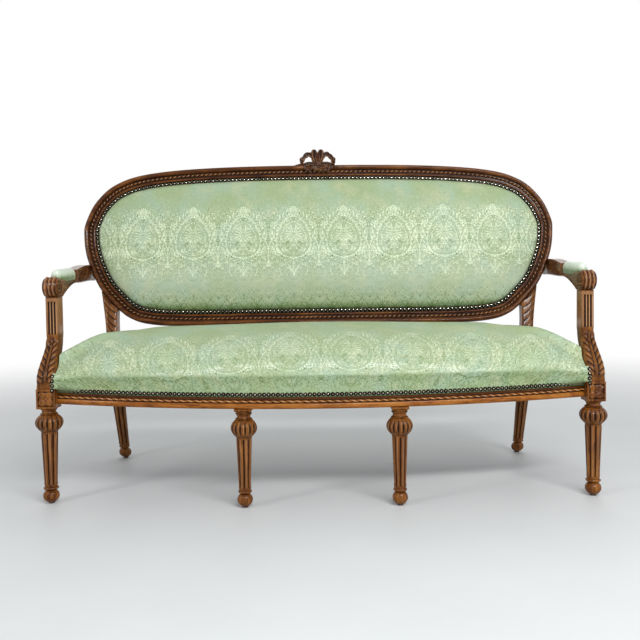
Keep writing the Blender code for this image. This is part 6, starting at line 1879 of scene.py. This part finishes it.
# A carved blade along a smooth path of (x, s, w) in the back's plane, s from the rail's top: elliptical
# in section with a hollowed face, scalloped along its edges, its ends rounded off. Sizes in millimetres
def blade(shell, path, halves, thicks, hollow=0.35, scallop=0.0, lobes=5, mirror=1, steps=64, sides=22):
    t = np.linspace(0, 1, steps)

    def smooth(values):
        return splineThrough(np.linspace(0, 1, len(values)), np.array(values, float) / 1000, t)

    line = np.stack([smooth(values) for values in zip(*path)], axis=1)
    half, thick = smooth(halves), smooth(thicks)
    ahead = np.gradient(line[:, :2], axis=0)
    ahead /= np.linalg.norm(ahead, axis=1)[:, None]
    normal = joined(ahead[:, 1], -ahead[:, 0])
    close = np.sqrt(limit(1 - (2 * t - 1) ** 16)) * 0.999 + 0.001
    waves = np.abs(np.sin(math.pi * lobes * t)) ** 0.7
    half, thick = half * close * (1 - scallop * (1 - waves)), thick * close
    turns = turnsRound(sides)
    across, lift = np.cos(turns)[None], np.sin(turns)[None]
    dip = bell(across, 0.42) * (lift > 0)
    veins = 0.12 * scallop * np.cos(2 * math.pi * lobes * t)[:, None] * (lift > 0) * np.abs(across)
    height = thick[:, None] * (lift * (1 - hollow * dip) + veins)
    offset = half[:, None] * across
    x = line[:, :1] + normal[:, :1] * offset
    s = line[:, 1:2] + normal[:, 1:] * offset
    w = line[:, 2:] + height
    # Wax and painted shade in the hollow and the scallops' notches, painted shade on the underside, a little
    # darker all over, and a painted highlight along one side of the face
    depth = limit(dip * hollow * 1.7) + 0.9 * (lift < -0.2) + 0.55 * scallop * (1 - waves)[:, None]
    depth = depth + 0.22 - 1.0 * bell(across - 0.62, 0.16) * (lift > 0.3)
    addGrid(shell, backPlace(mirror * x, crest["top"] + s, w), depth)


# The crest: a bow over the rail with two tall petals, a pierced loop and a curl on each side, a knot,
# and leaves that lie over the rail's face
def carveCrest():
    shell = newShell()
    # Foot of the bow, straddling the rail's top edge
    turns = turnsRound(96)
    rows = []
    for w, grow in ((-0.0085, 0.9), (-0.0078, 0.97), (-0.004, 1.0), (0.01, 1.0), (0.0185, 0.99),
                    (0.0218, 0.94), (0.0238, 0.84), (0.0246, 0.6)):
        x = 0.058 * grow * np.cos(turns)
        s = np.where(np.sin(turns) > 0, 0.0078 * grow, 0.0006) * np.sin(turns)
        rows.append(backPlace(x, crest["top"] + 0.0004 + s, w))
    addGrid(shell, np.stack(rows), np.full((len(rows), len(turns)), 0.35))
    # Leaf bed on the rail's face, ribbed out from the knot
    angles = math.pi + math.pi * np.linspace(0, 1, 150)
    inner = np.array((1.0, 0.985, 0.95, 0.88, 0.76, 0.62, 0.46, 0.3, 0.14, 0.03))[:, None]
    lobes = np.abs(np.sin(5.5 * (angles - math.pi)))
    reachX, reachS = 0.0505 * (0.9 + 0.1 * lobes), 0.0285 * (0.86 + 0.14 * lobes)
    x = 1.1 * inner * reachX * np.cos(angles)
    s = 0.0035 + inner * reachS * np.sin(angles)
    domed = dome(inner)
    ribs = 0.5 + 0.5 * lobes ** 0.7
    w = crest["railFront"] - 0.0004 + 0.0052 * domed * (0.45 + 0.55 * ribs)
    top = backPlace(x, crest["top"] + s, w)
    base = backPlace(x[:1], crest["top"] + s[:1], np.full((1, len(angles)), crest["railFront"] - 0.0035))
    # Painted shade under the leaf bed; wax and painted shade between its ribs
    deep = np.vstack([np.ones((1, len(angles))), limit(1.1 - 1.2 * ribs) * np.ones((len(inner), 1))])
    addGrid(shell, np.vstack([base, top]), deep)
    for mirror, vary in ((-1, 0), (1, 1)):
        for leaf in (
            # Tall petal, its outer and inner folds
            (((4, -2, 8), (6.5, 18, 6), (10, 36, 4), (12.2, 52, 3), (10.8, 62.5, 2)),
             (5.8, 9.2, 12.4, 11.2, 6), (7, 8, 7.5, 6.5, 4.5), 0.5, 0, 3),
            (((1, 0, 12), (2, 14, 11), (3.5, 26, 9), (5.5, 38, 7)),
             (4, 4.8, 4.6, 2.8), (5, 5.5, 5, 3), 0.3, 0, 3),
            # Loop over the opening, scalloped along its outer edge
            (((10, 6, 6), (15.5, 22.5, 5), (22.5, 39.5, 3), (34.5, 44, 2), (47, 35, 2), (56, 20, 3),
              (56.5, 6, 5), (48, 0, 8)),
             (5.6, 7.2, 9.2, 9.8, 9.2, 8.6, 8, 5.8), (6, 7, 7.8, 8.2, 8, 7.8, 7.4, 6), 0.46, 0.34, 5 + vary),
            # Ribbon's lower edge under the opening
            (((9, 4.5, 12), (22, 8.5, 11), (36, 9, 10), (50, 5.5, 10)), (4, 4.2, 4, 3.4), (5.2, 6, 6, 5),
             0.25, 0.16, 4),
            # Outer curl
            (((50, 23.5, 5), (55.5, 29, 5), (61.5, 24.5, 5), (60, 16.5, 6), (54.5, 17.5, 8)),
             (3, 4, 4.4, 4, 2.6), (5, 5.6, 5.8, 5.4, 4), 0.25, 0.1, 3),
            # Tail leaf, folded back on itself over the rail's face, and two short ones inside it
            (((10, -2, 22.5), (26, 0.5, 23.5), (42 + 2 * vary, -4.5, 23.5), (46, -14, 23.2),
              (37 - 3 * vary, -23.5, 23), (21, -19.5, 24.5)),
             (4.2, 5.4, 5.6, 5.2, 5, 3), (4.2, 5, 5.2, 5, 4.8, 3.6), 0.48, 0.22, 7),
            (((6, -6, 23), (16.5, -13, 23.8), (29, -12, 24.5)), (3.4, 4.6, 2.2), (4, 4.6, 3), 0.35, 0.12, 3),
            (((3, -8, 22.5), (8.5, -19, 22.8), (16, -27, 22.2)), (3.6, 5, 2.4), (3.6, 4, 2.6), 0.4, 0.14, 3),
        ):
            blade(shell, *leaf, mirror)
    for leaf in (
        # Knot: a band over the middle with two more behind it
        (((-10.5, -5, 20), (-4, 1, 24.5), (4, 5.5, 24.5), (11, 8, 20)),
         (4, 5.8, 5.8, 4), (5, 6.2, 6.2, 5), 0.3, 0, 3),
        (((11.5, -6.5, 19.5), (4, -3.5, 23.5), (-5, -6, 23.5), (-12, -11, 20)),
         (3.4, 5, 5, 3.4), (4.4, 5.4, 5.4, 4.4), 0.3, 0, 3),
        (((0, 12, 9), (0, 4, 20), (0, -10, 24), (1, -27, 22.5)),
         (6, 7.5, 6.2, 3), (6, 6, 5, 3), 0.35, 0.18, 4),
        # The left tail runs out flat along the rail's top edge
        (((-54, 4, 6), (-65, 2, 9), (-78, -1.5, 12), (-89, -5, 14)),
         (3.6, 4.4, 3.6, 1.4), (6, 6.4, 5.6, 3), 0.3, 0.16, 4),
    ):
        blade(shell, *leaf)
    # The right tail runs on along the rail in small leaves, as the carver left it
    for x, size in ((55.5, 1), (65, 0.85)):
        blade(shell, ((x, -4, 19.5), (x + 4, -9.5, 20.5), (x + 1, -15, 19.5)),
              (2.2 * size, 4 * size, 1.8 * size), (3 * size, 3.6 * size, 2.2 * size), 0.35, 0.1, 3)
    carve("crest_bow", shell, "darkWalnut")


# The outside back: one panel of the same damask, strained flat and edged with nails
def coverOutsideBack():
    place, inward, _, _ = medallionCurve(420)
    outline = place + inward * 0.0302
    shares = np.r_[1.0, 1.0, 0.995, 0.985, np.linspace(0.96, 0.03, 34)]
    middle = np.array((0.0, back["height"] / 2))
    ring = middle + (outline - middle) * shares[:, None, None]
    away = limit((1 - shares) / 0.12)
    crown = 0.0034 * ease(away)[:, None]
    folds = foldWaves(ring[..., 0] * 0.8, 2.9) * bell(1 - shares, 0.07)[:, None] * away[:, None]
    w = -0.0213 - crown - 0.0007 * folds
    w[0] = -0.0194
    front = backPlace(ring[-1:, :, 0], ring[-1:, :, 1], -0.0194)
    grid = np.vstack([front, backPlace(ring[..., 0], ring[..., 1], w)])
    panel = makePiece("outside_back_panel", gridShell(grid), backDamask,
                      ("outside_back_cover",))
    layCloth(panel, backFlat)


carveCrest()
coverOutsideBack()
print("crest carved, outside back covered")


# Pieces that show only from below and behind keep their own solids and get their finishes
for title, piece in nodes.items():
    finish = next((look for start, look in (("glide", dullSteel), ("seat_webbing", strawJute),
                                            ("seat_hessian", strawJute), ("back_webbing", strawJute),
                                            ("seat_dust_cover", blackCambric), ("cross_rail", rawBeech),
                                            ("corner_block", rawBeech), ("rear_rail", rawBeech))
                   if title.startswith(start)), None)
    if "dowel" in title:
        finish = rawBeech
    if finish:
        piece.data.materials.clear()
        piece.data.materials.append(finish)
